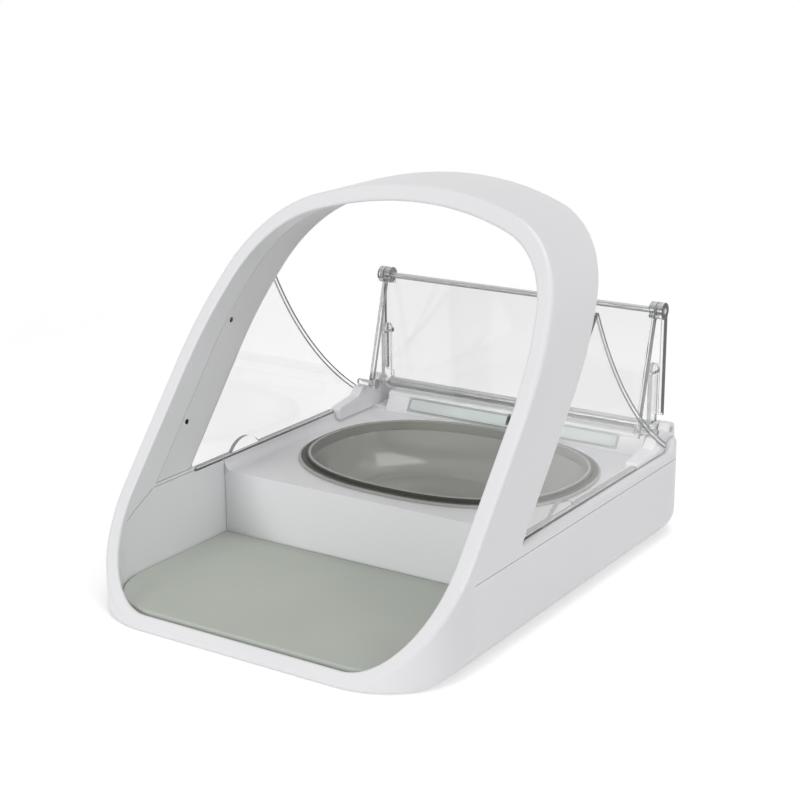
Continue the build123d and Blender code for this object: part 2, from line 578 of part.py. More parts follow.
def lower_casing(form):
    """Lower moulding: floor, lip, side walls, battery bay, screw bosses and board posts."""
    shell = form & (below(PARTING) + tongue_block(0))
    shell = shell - deck_block(SEAM)
    bay_wall = box_between(
        (-BAY_HALF, BAY_HALF), (DOOR_FRONT - WALL, DOOR_FRONT - SEAM), (CAVITY_FLOOR, BAY_TOP))
    shell = shell + bay_wall
    wall = CELL_END + CONTACT_THICK + 2 * CONTACT_GAP + DIVIDER / 2
    for x in (-wall, 0, wall):
        rib_x = (x - DIVIDER / 2, x + DIVIDER / 2)
        rib_depth = (DOOR_FRONT - WALL, LENGTH - BOTTOM_EDGE)
        shell = shell + box_between(rib_x, rib_depth, (CAVITY_FLOOR, BAY_TOP))
    for x in (-SCREW_X, SCREW_X):
        for spot in SCREW_DEPTHS:
            boss = Pos(x, depth(spot), CAVITY_FLOOR) * upright(BOSS_RADIUS, CAVITY_TOP - SEAM - CAVITY_FLOOR)
            shell = shell + boss
            shell = shell - Pos(x, depth(spot), 0) * upright(SCREW_RADIUS + RUN_GAP, SCREW_LENGTH + WALL * 2)
            shell = shell - Pos(x, depth(spot), 0) * upright(SCREW_HEAD + DOOR_GAP, FLOOR + WALL / 2)
    for x, y in board_posts():
        shell = shell + Pos(x, y, CAVITY_FLOOR) * upright(BOSS_RADIUS, BOARD_HEIGHT - CAVITY_FLOOR)
    for x in (-FOOT_X, FOOT_X):
        for spot in FOOT_DEPTHS:
            shell = shell - Pos(x, depth(spot), 0) * upright(FOOT_RADIUS + RUN_GAP, FLOOR + FOOT_SINK)
    for side in (-1, 1):
        shell = shell - door_zone(side, 0)
    for x in button_places():
        shell = shell - Pos(x, depth(LENGTH / 2), BUTTON_HEIGHT) * along_y(BUTTON_RADIUS + BUTTON_GAP, LENGTH)
    shell = shell - Pos(0, depth(LENGTH / 2), BUTTON_HEIGHT) * along_y(LIGHT_RADIUS + RUN_GAP, LENGTH)
    for side in (-1, 1):
        post_x = side * (BUTTON_BOARD_HALF - BOSS_RADIUS)
        board_face = BUTTON_BOARD_DEPTH + BOARD_THICK
        post = Pos(post_x, depth(board_face), BUTTON_HEIGHT)
        shell = shell + post * along_y(BOSS_RADIUS, LENGTH - WALL / 2 - board_face)
    slot_x = SWITCH_LENGTH / 2 + SWITCH_TRAVEL + DOOR_GAP
    slot_y = SWITCH_WIDTH / 2 + DOOR_GAP
    slot_depth = (SWITCH_DEPTH - slot_y, SWITCH_DEPTH + slot_y)
    return shell - box_between((-slot_x, slot_x), slot_depth, (0, CAVITY_FLOOR + WALL))


def battery_door(form, side):
    """Curved cover in the rear bottom edge, with a finger groove near its front."""
    door = form & door_zone(side, DOOR_GAP)
    middle = side * (DIVIDER + DOOR_LENGTH / 2)
    spot = Pos(middle - DOOR_LENGTH / 6, depth(DOOR_FRONT + GROOVE_BACK), FLOOR)
    return door - spot * along_x(GROOVE_RADIUS, DOOR_LENGTH / 3)


def upper_casing(form):
    """Upper moulding: arch skin, rails, step wall, deck with its bowl well, and rear ledge."""
    shell = form & (deck_block(0) + (FULL_SPACE - below(PARTING + SEAM)))
    shell = shell - tongue_block(SEAM)
    shell = shell - liner_zone(SEAM) - arch_cavity()
    shell = shell - cup(BOWL_CLEAR)
    shell = shell + bowl_well()
    shell = shell - cover_zone(0)
    shell = shell - cover_room()
    for side in (-1, 1):
        shell = shell - arm_slot(side) - housing_pocket(side)
    return shell


def arch_liner(form):
    """Inner skin and closed back of the arch, with the four sensor holes."""
    shell = form & liner_zone(0)
    shell = shell - arch_cavity()
    back = Vector(0, cos(radians(LEAN)), -sin(radians(LEAN)))
    flats = [f for f in shell.faces() if f.geom_type == GeomType.PLANE]
    faces = [f for f in flats if (f.normal_at() - back).length < 0.01]
    rear_face = max(faces, key=lambda f: f.center().Y)
    edges = []
    for edge in rear_face.edges():
        point = edge.position_at(0.5)
        if abs(point.X) < sensor_face(point.Z) + RUN_GAP and point.Z > LINER_FOOT + 1:
            edges.append(edge)
    shell = fillet(edges, LINER_ROUND)
    for side, spot in place_sensors():
        shell = shell - spot * Rot(0, 90, 0) * Cylinder(SENSOR_RADIUS + RUN_GAP, 4 * ARCH_SKIN)
    return shell


# ---------------------------------------------------------------- bowl, seal and mat
def bowl_face(grow):
    """Superellipse outline of the bowl's flange, grown or shrunk all round."""
    half_x = BOWL_HALF_X + grow
    half_y = BOWL_HALF_Y + grow
    power = 2 / BOWL_SQUARE
    points = []
    for step in range(RIM_POINTS):
        angle = 2 * pi * step / RIM_POINTS
        x = half_x * copysign(abs(cos(angle)) ** power, cos(angle))
        y = half_y * copysign(abs(sin(angle)) ** power, sin(angle))
        points.append((x, y))
    return make_face(Spline(*points, periodic=True))


def bowl_disc(bottom, thick, grow):
    """Flat block with the bowl's outline."""
    return extrude(Pos(0, depth(BOWL_CENTRE), bottom) * bowl_face(grow), thick)


def cup(grow):
    """Solid form of the bowl below its flange: straight collar, small step, tapering body."""
    foot = COLLAR_FOOT - grow
    collar = bowl_disc(foot, COLLAR_TOP - foot, grow - BOWL_FLANGE)
    sections = []
    for drop, shrink in BODY_PROFILE:
        inset = BOWL_FLANGE + COLLAR_STEP + shrink * BOWL_HALF_Y
        spot = Pos(0, depth(BOWL_CENTRE), foot - drop * BODY_DEPTH)
        sections.append(spot * bowl_face(grow - inset))
    return collar + loft(sections)


def bowl():
    """Lift-out bowl: a flange that rests on the deck and an upright collar round its mouth."""
    body = cup(0) - cup(-BOWL_WALL)
    rim = [e for e in body.edges() if abs(e.center().Z - COLLAR_TOP) < 0.01]
    body = fillet(rim, COLLAR_ROUND)
    flange = bowl_disc(DECK_TOP + RUN_GAP, FLANGE_HEIGHT, 0)
    top = [e for e in flange.edges() if abs(e.center().Z - FLANGE_TOP) < 0.01]
    flange = fillet(top, FLANGE_HEIGHT / 2)
    flange = flange - bowl_disc(DECK_TOP, 2 * FLANGE_HEIGHT, -BOWL_FLANGE - BOWL_WALL / 2)
    return body + flange


def bowl_well():
    """Moulded recess that catches what the bowl spills."""
    well = cup(BOWL_CLEAR + WELL_WALL) - cup(BOWL_CLEAR)
    return well & below(DECK_TOP)


def bowl_seal():
    """Soft ring round the bowl's collar, on which the closed lid's skirt comes down."""
    bottom = FLANGE_TOP + RUN_GAP
    height = COLLAR_TOP - SEAL_SHOW - bottom
    ring = bowl_disc(bottom, height, SEAL_THICK - BOWL_FLANGE)
    return ring - bowl_disc(bottom - 1, height + 2, RUN_GAP - BOWL_FLANGE)


def feeding_mat():
    """Soft mat that fills the feeding floor."""
    block = plan_prism(ARCH_WALL + MAT_GAP, LIP_DEPTH + MAT_FRONT_GAP, 0, FLOOR_TOP, FLOOR_TOP + MAT_THICK)
    block = block - box_between((-FAR, FAR), (STEP_DEPTH - MAT_GAP, FAR), (-FAR, FAR))
    rim = [e for e in block.edges() if abs(e.center().Z - FLOOR_TOP - MAT_THICK) < 0.01]
    return fillet(rim, MAT_ROUND)


# ---------------------------------------------------------------- lid
def hinge_spot():
    return Pos(0, depth(HINGE_DEPTH), HINGE_HEIGHT)


def fold_spot():
    return Pos(0, depth(HINGE_DEPTH), HINGE_HEIGHT + LEAF_LENGTH)


def leaf_block(x_range, y_range, z_range):
    """Block in a leaf's own frame, which has the leaf's lower axis at its origin."""
    size = [x_range[1] - x_range[0], y_range[1] - y_range[0], z_range[1] - z_range[0]]
    return Pos(sum(x_range) / 2, sum(y_range) / 2, sum(z_range) / 2) * Box(*size)


def rear_leaf():
    """Rear leaf of the lid: sheet, bottom barrel, side ribs and outer fold knuckles."""
    back = (LEAF_OFFSET, LEAF_OFFSET + LEAF_THICK)
    sheet = leaf_block((-REAR_LEAF_HALF, REAR_LEAF_HALF), back, (-LEAF_FOOT, LEAF_LENGTH - FOLD_GAP))
    barrel = Rot(0, 90, 0) * Cylinder(BARREL_RADIUS, 2 * BARREL_HALF)
    leaf = sheet
    for side in (-1, 1):
        low = sorted((side * BARREL_HALF, side * (REAR_LEAF_HALF + 1)))
        leaf = leaf - leaf_block(low, back_range(1), (-FAR, TOWER_RADIUS + TOWER_GAP))
        near = FRONT_LEAF_HALF - KNUCKLE_WIDTH - KNUCKLE_GAP
        high = sorted((side * near, side * (FRONT_LEAF_HALF + KNUCKLE_GAP / 2)))
        leaf = leaf - leaf_block(high, back_range(1), (LEAF_LENGTH - KNUCKLE_RADIUS - KNUCKLE_GAP, FAR))
        edge = sorted((side * (REAR_LEAF_HALF - LEAF_RIB), side * REAR_LEAF_HALF))
        rib_heights = (TOWER_RADIUS + TOWER_GAP + LEAF_RIB, LEAF_LENGTH - KNUCKLE_RADIUS)
        leaf = leaf + leaf_block(edge, (FOLD_GAP, LEAF_OFFSET), rib_heights)
        start = FRONT_LEAF_HALF + KNUCKLE_GAP if side > 0 else -FRONT_LEAF_HALF - KNUCKLE_GAP - KNUCKLE_WIDTH
        leaf = leaf + Pos(start, 0, LEAF_LENGTH) * along_x(KNUCKLE_RADIUS, KNUCKLE_WIDTH)
        leaf = leaf - rivet_hole(side)
    leaf = leaf + barrel
    leaf = leaf - rod_bore()
    leaf = leaf - Pos(0, 0, LEAF_LENGTH) * rod_bore()
    return hinge_spot() * leaf


def rod_bore():
    """Bore for the fold rod or the hinge shaft, right across the feeder."""
    return Rot(0, 90, 0) * Cylinder(ROD_RADIUS + RUN_GAP, WIDTH)


def rivet_hole(side):
    """Hole for an arm's rivet, in the rear leaf's own frame."""
    spot = Pos(side * ARM_MIDDLE, 0, ARM_PIN_HEIGHT) * Rot(-90, 0, 0)
    return spot * Cylinder(RIVET_RADIUS + RUN_GAP, 4 * ARM_WIDTH)


def back_range(extra):
    return (LEAF_OFFSET - extra, LEAF_OFFSET + LEAF_THICK + extra)


def front_leaf():
    """Front leaf of the lid, leaning forward from the fold, with its end pins."""
    length = LEAF_LENGTH + LEAF_TIP
    face = (-LEAF_OFFSET - LEAF_THICK, -LEAF_OFFSET)
    leaf = leaf_block((-FRONT_LEAF_HALF, FRONT_LEAF_HALF), face, (-length, -FOLD_GAP))
    for side in (-1, 1):
        edge = sorted((side * (FRONT_LEAF_HALF - LEAF_RIB), side * FRONT_LEAF_HALF))
        leaf = leaf + leaf_block(edge, (-LEAF_OFFSET, -FOLD_GAP), (-LEAF_LENGTH, -KNUCKLE_RADIUS))
        start = FRONT_LEAF_HALF - KNUCKLE_WIDTH if side > 0 else -FRONT_LEAF_HALF
        leaf = leaf + Pos(start, 0, 0) * along_x(KNUCKLE_RADIUS, KNUCKLE_WIDTH)
        boss = Pos(start, 0, -LEAF_LENGTH) * along_x(END_PIN_RADIUS + END_BOSS_WALL, KNUCKLE_WIDTH)
        reach = END_PIN_REACH - FRONT_LEAF_HALF + MERGE
        pin_start = FRONT_LEAF_HALF - MERGE if side > 0 else -END_PIN_REACH
        pin = Pos(pin_start, 0, -LEAF_LENGTH) * along_x(END_PIN_RADIUS, reach)
        leaf = leaf + boss + pin
    return fold_spot() * Rot(-FRONT_LEAF_LEAN, 0, 0) * (leaf - rod_bore())


def fold_rod():
    return fold_spot() * Rot(0, 90, 0) * Cylinder(ROD_RADIUS, 2 * REAR_LEAF_HALF)


def hinge_shaft():
    return hinge_spot() * Rot(0, 90, 0) * Cylinder(ROD_RADIUS, 2 * (HOUSING_OUTER - SHAFT_INSET))


def lid_arm(side):
    """Drive arm that lifts the rear leaf, clamped on the hinge shaft."""
    right = ARM_FRONT + ARM_WIDTH
    top = ARM_LENGTH - ARM_WIDTH / 2
    outline = make_face(Polyline((ARM_FRONT, 0), (right, 0), (right, top), (ARM_FRONT, top), close=True))
    outline = outline + Pos(ARM_FRONT + ARM_WIDTH / 2, top) * Circle(ARM_WIDTH / 2) + Circle(ARM_HUB)
    outline = outline - Circle(ROD_RADIUS + RUN_GAP)
    start = ARM_INNER if side > 0 else -ARM_INNER - ARM_THICK
    arm = Pos(start, 0, 0) * extrude(Plane.YZ * outline, ARM_THICK)
    return hinge_spot() * (arm - rivet_hole(side))


def arm_rivets():
    """Two small pins that join the arms to the rear leaf."""
    pins = []
    for side in (-1, 1):
        back = LEAF_OFFSET + LEAF_THICK
        shank = Pos(side * ARM_MIDDLE, ARM_FRONT, ARM_PIN_HEIGHT) * along_y(RIVET_RADIUS, back - ARM_FRONT)
        head = Pos(side * ARM_MIDDLE, back, ARM_PIN_HEIGHT) * along_y(2 * RIVET_RADIUS, RIVET_HEAD)
        pins.append(hinge_spot() * (shank + head))
    return Compound(pins)


# ---------------------------------------------------------------- drive under the rear ledge
def gear_face(teeth, start_tooth, tooth_count):
    """Involute gear outline; tooth 0 points along +X and only tooth_count teeth are cut."""
    pitch = GEAR_MODULE * teeth / 2
    base = pitch * cos(radians(PRESSURE_ANGLE))
    tip = pitch + TOOTH_REACH * GEAR_MODULE
    root = pitch - TOOTH_ROOT * GEAR_MODULE
    half = pi / (2 * teeth) - GEAR_BACKLASH / (2 * pitch)
    pressure = radians(PRESSURE_ANGLE)
    involute = tan(pressure) - pressure
    face = Circle(root)
    for index in range(start_tooth, start_tooth + tooth_count):
        right = []
        for step in range(FLANK_POINTS):
            radius = max(base, root) + (tip - max(base, root)) * step / (FLANK_POINTS - 1)
            angle = sqrt(max((radius / base) ** 2 - 1, 0.0))
            turn = half + involute - (angle - atan2(angle, 1.0))
            right.append((radius, turn))
        flank = [(root * TOOTH_SINK, right[0][1])] + right
        upper = [(r * cos(t), r * sin(t)) for r, t in flank]
        lower = [(r * cos(-t), r * sin(-t)) for r, t in reversed(flank)]
        tooth = make_face(Polyline(*(upper + lower), close=True))
        face = face + Rot(0, 0, 360 * index / teeth) * tooth
    return face


def in_drive_plane(face, turn):
    """Turn a gear outline in its plane and lay it across X, so that its +X points towards +Y."""
    return Plane.YZ * (Rot(0, 0, turn) * face)


def gear_sector():
    """Toothed quadrant on the hinge shaft; its teeth run from straight down to the front."""
    half_pitch = 180 / SECTOR_TEETH
    teeth = SECTOR_TEETH // 4 + 2
    face = gear_face(SECTOR_TEETH, -teeth + 1, teeth)
    keep = Pos(-FAR / 2 + SECTOR_HUB, -FAR / 2 + SECTOR_HUB) * Rectangle(FAR, FAR)
    turned = Rot(0, 0, -90 - half_pitch) * face
    turned = (turned & keep) + Circle(SECTOR_HUB)
    turned = turned - Circle(ROD_RADIUS + RUN_GAP)
    sector = extrude(Plane.YZ * turned, GEAR_WIDTH)
    return hinge_spot() * Pos(SECTOR_START, 0, 0) * sector


def drive_pinion():
    """Small gear under the hinge shaft, with its stub shaft."""
    face = gear_face(PINION_TEETH, 0, PINION_TEETH)
    gear = extrude(in_drive_plane(face, 90), GEAR_WIDTH)
    stub_start = GEARBOX_END - SECTOR_START + DOOR_GAP
    stub = Pos(stub_start, 0, 0) * along_x(MOTOR_SHAFT, MERGE - stub_start)
    return drive_spot() * Pos(SECTOR_START, 0, 0) * (gear + stub)


def drive_spot():
    return Pos(0, depth(HINGE_DEPTH), DRIVE_HEIGHT)


def drive_motor():
    """Small geared motor: round motor, square gearbox."""
    gearbox = box_between(
        (GEARBOX_END - GEARBOX_LENGTH, GEARBOX_END),
        (HINGE_DEPTH - GEARBOX_FRONT, HINGE_DEPTH + MOTOR_RADIUS),
        (DRIVE_HEIGHT - GEARBOX_HALF, DRIVE_HEIGHT + GEARBOX_HALF))
    start = GEARBOX_END - GEARBOX_LENGTH - MOTOR_LENGTH
    motor = drive_spot() * Pos(start, 0, 0) * along_x(MOTOR_RADIUS, MOTOR_LENGTH)
    tail = drive_spot() * Pos(start - MOTOR_TAIL, 0, 0) * along_x(MOTOR_RADIUS / 2, MOTOR_TAIL)
    return gearbox + motor + tail


def cover_zone(gap):
    """Zone of the drive cover in the rear ledge."""
    half = COVER_HALF - gap
    depths = (ledge_front(DECK_TOP) - LEDGE_SLOPE, LENGTH - COVER_REAR - gap)
    return box_between((-half, half), depths, (DECK_TOP + gap / 4, FAR))


def cover_room():
    """Room under the drive cover, down into the casing."""
    half = COVER_HALF - COVER_SKIN - SEAM
    bottom = CAVITY_TOP - SEAM
    top = LEDGE_TOP - COVER_SKIN
    skin = COVER_SKIN * sqrt(1 + (LEDGE_SLOPE / (LEDGE_TOP - DECK_TOP)) ** 2)
    rear = LENGTH - COVER_REAR - COVER_SKIN - SEAM
    points = [
        (depth(ledge_front(bottom) + skin), bottom),
        (depth(ledge_front(top) + skin), top),
        (depth(rear), top),
        (depth(rear), bottom),
    ]
    return extrude(Plane.YZ * make_face(Polyline(*points, close=True)), half, both=True)


def drive_cover(form):
    """Hollow cover of the rear ledge, with a shallow window for the service panel."""
    cover = form & cover_zone(SEAM)
    cover = cover - cover_room()
    cover = cover - panel_block(0)
    bore = Pos(COVER_HALF - 4 * COVER_SKIN, 0, 0) * along_x(MOTOR_SHAFT + DOOR_GAP, 5 * COVER_SKIN)
    return cover - drive_spot() * bore - notch_zone()


def panel_block(gap):
    """Service panel's block, laid into the ledge's sloping face."""
    angle = degrees(atan2(LEDGE_TOP - DECK_TOP, LEDGE_SLOPE))
    middle_height = (LEDGE_TOP + DECK_TOP) / 2
    width = 2 * (PANEL_HALF - gap)
    height = PANEL_HEIGHT - 2 * gap
    spot = Pos(0, depth(ledge_front(middle_height)), middle_height)
    return spot * Rot(angle, 0, 0) * Pos(0, 0, -PANEL_THICK / 2) * Box(width, height, PANEL_THICK)


def notch_zone():
    """Deep slot through the service panel's upper edge and the drive cover's skin."""
    top = (LEDGE_TOP + DECK_TOP + PANEL_HEIGHT) / 2
    depths = (ledge_front(DECK_TOP) - LEDGE_SLOPE, ledge_front(LEDGE_TOP) + 2 * COVER_SKIN)
    return box_between((-NOTCH_WIDTH / 2, NOTCH_WIDTH / 2), depths, (top - NOTCH_DEPTH, top - SEAM))


def service_panel():
    """Thin clear panel in the ledge's front face, with a finger notch at its middle."""
    return panel_block(DOOR_GAP) - notch_zone()


def arm_slot(side):
    """Slot beside the drive cover for a lid arm, and the pinion's room below it."""
    x_range = (COVER_HALF, HOUSING_INNER) if side > 0 else (-HOUSING_INNER, -COVER_HALF)
    slot = box_between(x_range, (ledge_front(DECK_TOP) - LEDGE_SLOPE, SLOT_REAR), (SLOT_FLOOR, FAR))
    if side > 0:
        low = DRIVE_HEIGHT - PINION_ROOM
        slot = slot + box_between(x_range, (HINGE_DEPTH - PINION_ROOM, HINGE_DEPTH + PINION_ROOM), (low, FAR))
    return slot


# ---------------------------------------------------------------- housings and side screens
def housing_face():
    """Side view of a hinge housing: low block, pin rest and round tower."""
    pin_y = HINGE_DEPTH - LEAF_LENGTH * sin(radians(FRONT_LEAF_LEAN))
    pin_z = HINGE_HEIGHT + LEAF_LENGTH * (1 - cos(radians(FRONT_LEAF_LEAN)))
    rest = pin_z - END_PIN_RADIUS - FIT
    points = [
        (HOUSING_FRONT, SLOT_FLOOR),
        (HOUSING_FRONT, RAIL_TOP + HOUSING_NOSE),
        (pin_y - REST_HALF - REST_RAMP, LEDGE_TOP),
        (pin_y - REST_HALF, rest),
        (pin_y + REST_HALF, rest),
        (HINGE_DEPTH - TOWER_RADIUS, HINGE_HEIGHT),
        (HINGE_DEPTH + TOWER_RADIUS, HINGE_HEIGHT),
        (HINGE_DEPTH + TOWER_RADIUS, SLOT_FLOOR),
    ]
    face = make_face(Polyline(*[(depth(y), z) for y, z in points], close=True))
    corner = [v for v in face.vertices() if abs(v.X - depth(HOUSING_FRONT)) < 0.01 and v.Y > SLOT_FLOOR + 1]
    face = fillet(corner, HOUSING_ROUND)
    return face + Pos(depth(HINGE_DEPTH), HINGE_HEIGHT) * Circle(TOWER_RADIUS)


def hinge_housing():
    """Right-hand hinge housing with the bore for the hinge shaft."""
    block = Pos(HOUSING_INNER, 0, 0) * extrude(Plane.YZ * housing_face(), HOUSING_THICK)
    return block - hinge_spot() * rod_bore()


def housing_pocket(side):
    """Seat of a hinge housing in the rail."""
    x_range = (HOUSING_INNER - SEAM, HOUSING_OUTER + SEAM)
    if side < 0:
        x_range = (-HOUSING_OUTER - SEAM, -HOUSING_INNER + SEAM)
    depths = (HOUSING_FRONT - SEAM, HINGE_DEPTH + TOWER_RADIUS + SEAM)
    return box_between(x_range, depths, (SLOT_FLOOR, FAR))


def screen_face():
    """Side view of a screen: level foot, leaning front edge and hollow rear edge."""
    start = screen_start()
    start_height = (start - ARCH_DEPTH - FIT) / LEAN_RUN + EDGE_HEIGHT
    top = slope_depth(SCREEN_TOP, ARCH_DEPTH + FIT)
    foot = [
        (depth(SCREEN_END), RAIL_TOP + SCREEN_HEEL_RISE),
        (depth(SCREEN_END), RAIL_TOP + SCREEN_HEEL_STEP),
        (depth(SCREEN_END - 4 * SCREEN_HEEL_STEP), RAIL_TOP),
        (depth(start), RAIL_TOP),
        (depth(start), start_height),
        (depth(top), SCREEN_TOP),
    ]
    curve = SagittaArc(foot[-1], foot[0], -SCREEN_SAG)
    return make_face([Polyline(*foot), curve])


def screen_start():
    """Depth where a screen's foot starts, just behind the rounding at the arch's foot."""
    return slope_depth(RAIL_TOP, ARCH_DEPTH + FIT) + SCREEN_FOOT_RUN


def side_screen():
    """Right-hand clear screen with its foot flange and the rest for the lid's end pin."""
    sheet = Pos(SCREEN_INNER, 0, 0) * extrude(Plane.YZ * screen_face(), SCREEN_THICK)
    widths = (SCREEN_OUTER - FLANGE_WIDTH, SCREEN_INNER + MERGE)
    depths = (screen_start(), HOUSING_FRONT - 2 * SEAM)
    flange = box_between(widths, depths, (RAIL_TOP, RAIL_TOP + FLANGE_THICK))
    rest_top = HINGE_HEIGHT - END_PIN_RADIUS - FIT
    rest_middle = HINGE_DEPTH - 2 * LEAF_LENGTH + REST_AHEAD
    spot = Pos(SCREEN_INNER - REST_THICK, depth(rest_middle), rest_top - REST_RADIUS)
    disc = spot * along_x(REST_RADIUS, REST_THICK + MERGE)
    disc = disc - below(RAIL_TOP + FLANGE_THICK / 2)
    return sheet + flange + disc


# ---------------------------------------------------------------- power, electronics and controls
def battery_cells():
    cells = []
    for side in (-1, 1):
        for index in range(2):
            start = side * CELL_START + (index * CELL_LENGTH if side > 0 else -(index + 1) * CELL_LENGTH)
            can = along_x(CELL_RADIUS, CELL_LENGTH - CELL_CAP)
            cap = Pos(CELL_LENGTH - CELL_CAP, 0, 0) * along_x(CELL_RADIUS / 3, CELL_CAP - CONTACT_GAP)
            cells.append(Pos(start, depth(CELL_DEPTH), CELL_HEIGHT) * (can + cap))
    return Compound(cells)


def battery_contacts():
    """Contact plates at both ends of each pair of cells."""
    plates = []
    for side in (-1, 1):
        for x in (CELL_START - CONTACT_GAP - CONTACT_THICK / 2, CELL_END + CONTACT_GAP + CONTACT_THICK / 2):
            spot = Pos(side * x, depth(CELL_DEPTH), CELL_HEIGHT)
            plates.append(spot * Box(CONTACT_THICK, CONTACT_WIDTH, CONTACT_WIDTH))
    return Compound(plates)


def button_places():
    return (-BUTTON_SPACING / 2, BUTTON_SPACING / 2)


def push_button(x):
    """Round button in the rear wall with a retaining collar behind it."""
    cap = Pos(x, depth(BUTTON_BACK), BUTTON_HEIGHT) * along_y(BUTTON_RADIUS, BUTTON_LENGTH)
    edges = [e for e in cap.edges() if e.center().Y > depth(LENGTH - BUTTON_SINK) - 0.01]
    cap = fillet(edges, BUTTON_ROUND)
    spot = Pos(x, depth(LENGTH - WALL - FIT - BUTTON_COLLAR_THICK), BUTTON_HEIGHT)
    return cap + spot * along_y(BUTTON_RADIUS + BUTTON_COLLAR, BUTTON_COLLAR_THICK)


def button_board():
    """Small board behind the buttons with one dome switch for each."""
    face = BUTTON_BOARD_DEPTH + BOARD_THICK
    heights = (BUTTON_HEIGHT - BUTTON_BOARD_RISE, BUTTON_HEIGHT + BUTTON_BOARD_RISE)
    board = box_between((-BUTTON_BOARD_HALF, BUTTON_BOARD_HALF), (BUTTON_BOARD_DEPTH, face), heights)
    for x in button_places():
        dome = Pos(x, depth(BUTTON_BOARD_DEPTH), BUTTON_HEIGHT)
        board = board + dome * along_y(BUTTON_RADIUS / 2, BOARD_THICK + DOME_HEIGHT)
    return board


def status_light():
    spot = Pos(0, depth(LENGTH - WALL - LIGHT_TAIL), BUTTON_HEIGHT)
    return spot * along_y(LIGHT_RADIUS, WALL + LIGHT_TAIL - BUTTON_SINK)


def board_posts():
    """Centres of the four posts that carry the circuit board."""
    places = []
    for x in (BOARD_X[0] + BOSS_RADIUS, BOARD_X[1] - BOSS_RADIUS):
        for y in (BOARD_DEPTHS[0] + BOSS_RADIUS, BOARD_DEPTHS[1] - BOSS_RADIUS):
            places.append((x, depth(y)))
    return places


def circuit_board():
    """Main board on its posts, with a reader module and a chip."""
    top = BOARD_HEIGHT + BOARD_THICK
    board = box_between(BOARD_X, BOARD_DEPTHS, (BOARD_HEIGHT, top))
    share = (BOARD_X[1] - BOARD_X[0]) / 4
    for x, size in ((BOARD_X[0] + share, READER_SIZE), (BOARD_X[1] - share, CHIP_SIZE)):
        spot = Pos(x, depth(BOWL_CENTRE), top)
        board = board + spot * Box(*size, align=(Align.CENTER, Align.CENTER, Align.MIN))
    return board


def delay_switch():
    """Small slider on the underside, reached through a slot in the floor."""
    knob_depth = (SWITCH_DEPTH - SWITCH_WIDTH / 2, SWITCH_DEPTH + SWITCH_WIDTH / 2)
    plate_low = CAVITY_FLOOR + SWITCH_LIFT
    knob_x = SWITCH_LENGTH / 2
    knob = box_between((-knob_x, knob_x), knob_depth, (FLOOR + BUTTON_SINK, plate_low + SWITCH_PLATE / 2))
    plate_x = knob_x + SWITCH_TRAVEL + SWITCH_LENGTH / 2
    plate_depth = (SWITCH_DEPTH - SWITCH_WIDTH, SWITCH_DEPTH + SWITCH_WIDTH)
    return knob + box_between((-plate_x, plate_x), plate_depth, (plate_low, plate_low + SWITCH_PLATE))


def antenna_coil():
    """Reader coil: a flat winding that follows the arch inside its skin."""
    ring = arch_prism(COIL_INSET) - arch_prism(COIL_INSET + COIL_THICK)
    ring = ring & leaning_slab(COIL_START, COIL_START + COIL_WIDTH)
    return ring - below(LINER_FOOT + COIL_LIFT)


def ir_sensors():
    """Four infrared sensors, their lenses just inside the liner's surface."""
    pieces = []
    for side, spot in place_sensors():
        start = SENSOR_SINK if side > 0 else -SENSOR_SINK - SENSOR_LENGTH
        pieces.append(spot * Pos(start, 0, 0) * along_x(SENSOR_RADIUS, SENSOR_LENGTH))
    return Compound(pieces)


def rubber_feet():
    pads = []
    for x in (-FOOT_X, FOOT_X):
        for spot in FOOT_DEPTHS:
            pad = Pos(x, depth(spot), 0) * upright(FOOT_RADIUS, FLOOR + FOOT_SINK)
            low = [e for e in pad.edges() if e.center().Z < 0.01]
            pads.append(chamfer(low, FOOT_CHAMFER))
    return Compound(pads)


def casing_screws():
    screws = []
    for x in (-SCREW_X, SCREW_X):
        for spot in SCREW_DEPTHS:
            screw = upright(SCREW_HEAD, SCREW_HEAD_THICK) + upright(SCREW_RADIUS, SCREW_LENGTH)
            screws.append(Pos(x, depth(spot), FLOOR + SCREW_SINK) * screw)
    return Compound(screws)


# ---------------------------------------------------------------- all nodes
def build_nodes():
    """Every separate piece of the feeder by name."""
    form = hollow_form()
    nodes = {
        "lower_casing": lower_casing(form),
        "upper_casing": upper_casing(form),
        "arch_liner": arch_liner(form),
        "drive_cover": drive_cover(form),
        "service_panel": service_panel(),
        "hinge_housing_right": hinge_housing(),
        "hinge_housing_left": mirrored(hinge_housing()),
        "side_screen_right": side_screen(),
        "side_screen_left": mirrored(side_screen()),
        "lid_rear_leaf": rear_leaf(),
        "lid_front_leaf": front_leaf(),
        "lid_fold_rod": fold_rod(),
        "lid_hinge_shaft": hinge_shaft(),
        "lid_arm_right": lid_arm(1),
        "lid_arm_left": lid_arm(-1),
        "lid_arm_rivets": arm_rivets(),
        "gear_sector": gear_sector(),
        "drive_pinion": drive_pinion(),
        "drive_motor": drive_motor(),
        "bowl": bowl(),
        "bowl_seal": bowl_seal(),
        "feeding_mat": feeding_mat(),
        "antenna_coil": antenna_coil(),
        "ir_sensors": ir_sensors(),
        "circuit_board": circuit_board(),
        "button_board": button_board(),
        "learn_button": push_button(button_places()[0]),
        "open_button": push_button(button_places()[1]),
        "status_light": status_light(),
        "delay_switch": delay_switch(),
        "battery_cells": battery_cells(),
        "battery_contacts": battery_contacts(),
        "battery_door_right": battery_door(form, 1),
        "battery_door_left": battery_door(form, -1),
        "rubber_feet": rubber_feet(),
        "casing_screws": casing_screws(),
    }
    return nodes


def main():
    os.makedirs("parts", exist_ok=True)
    for name, shape in build_nodes().items():
        export_step(shape, f"parts/{name}.step")


if __name__ == "__main__":
    main()
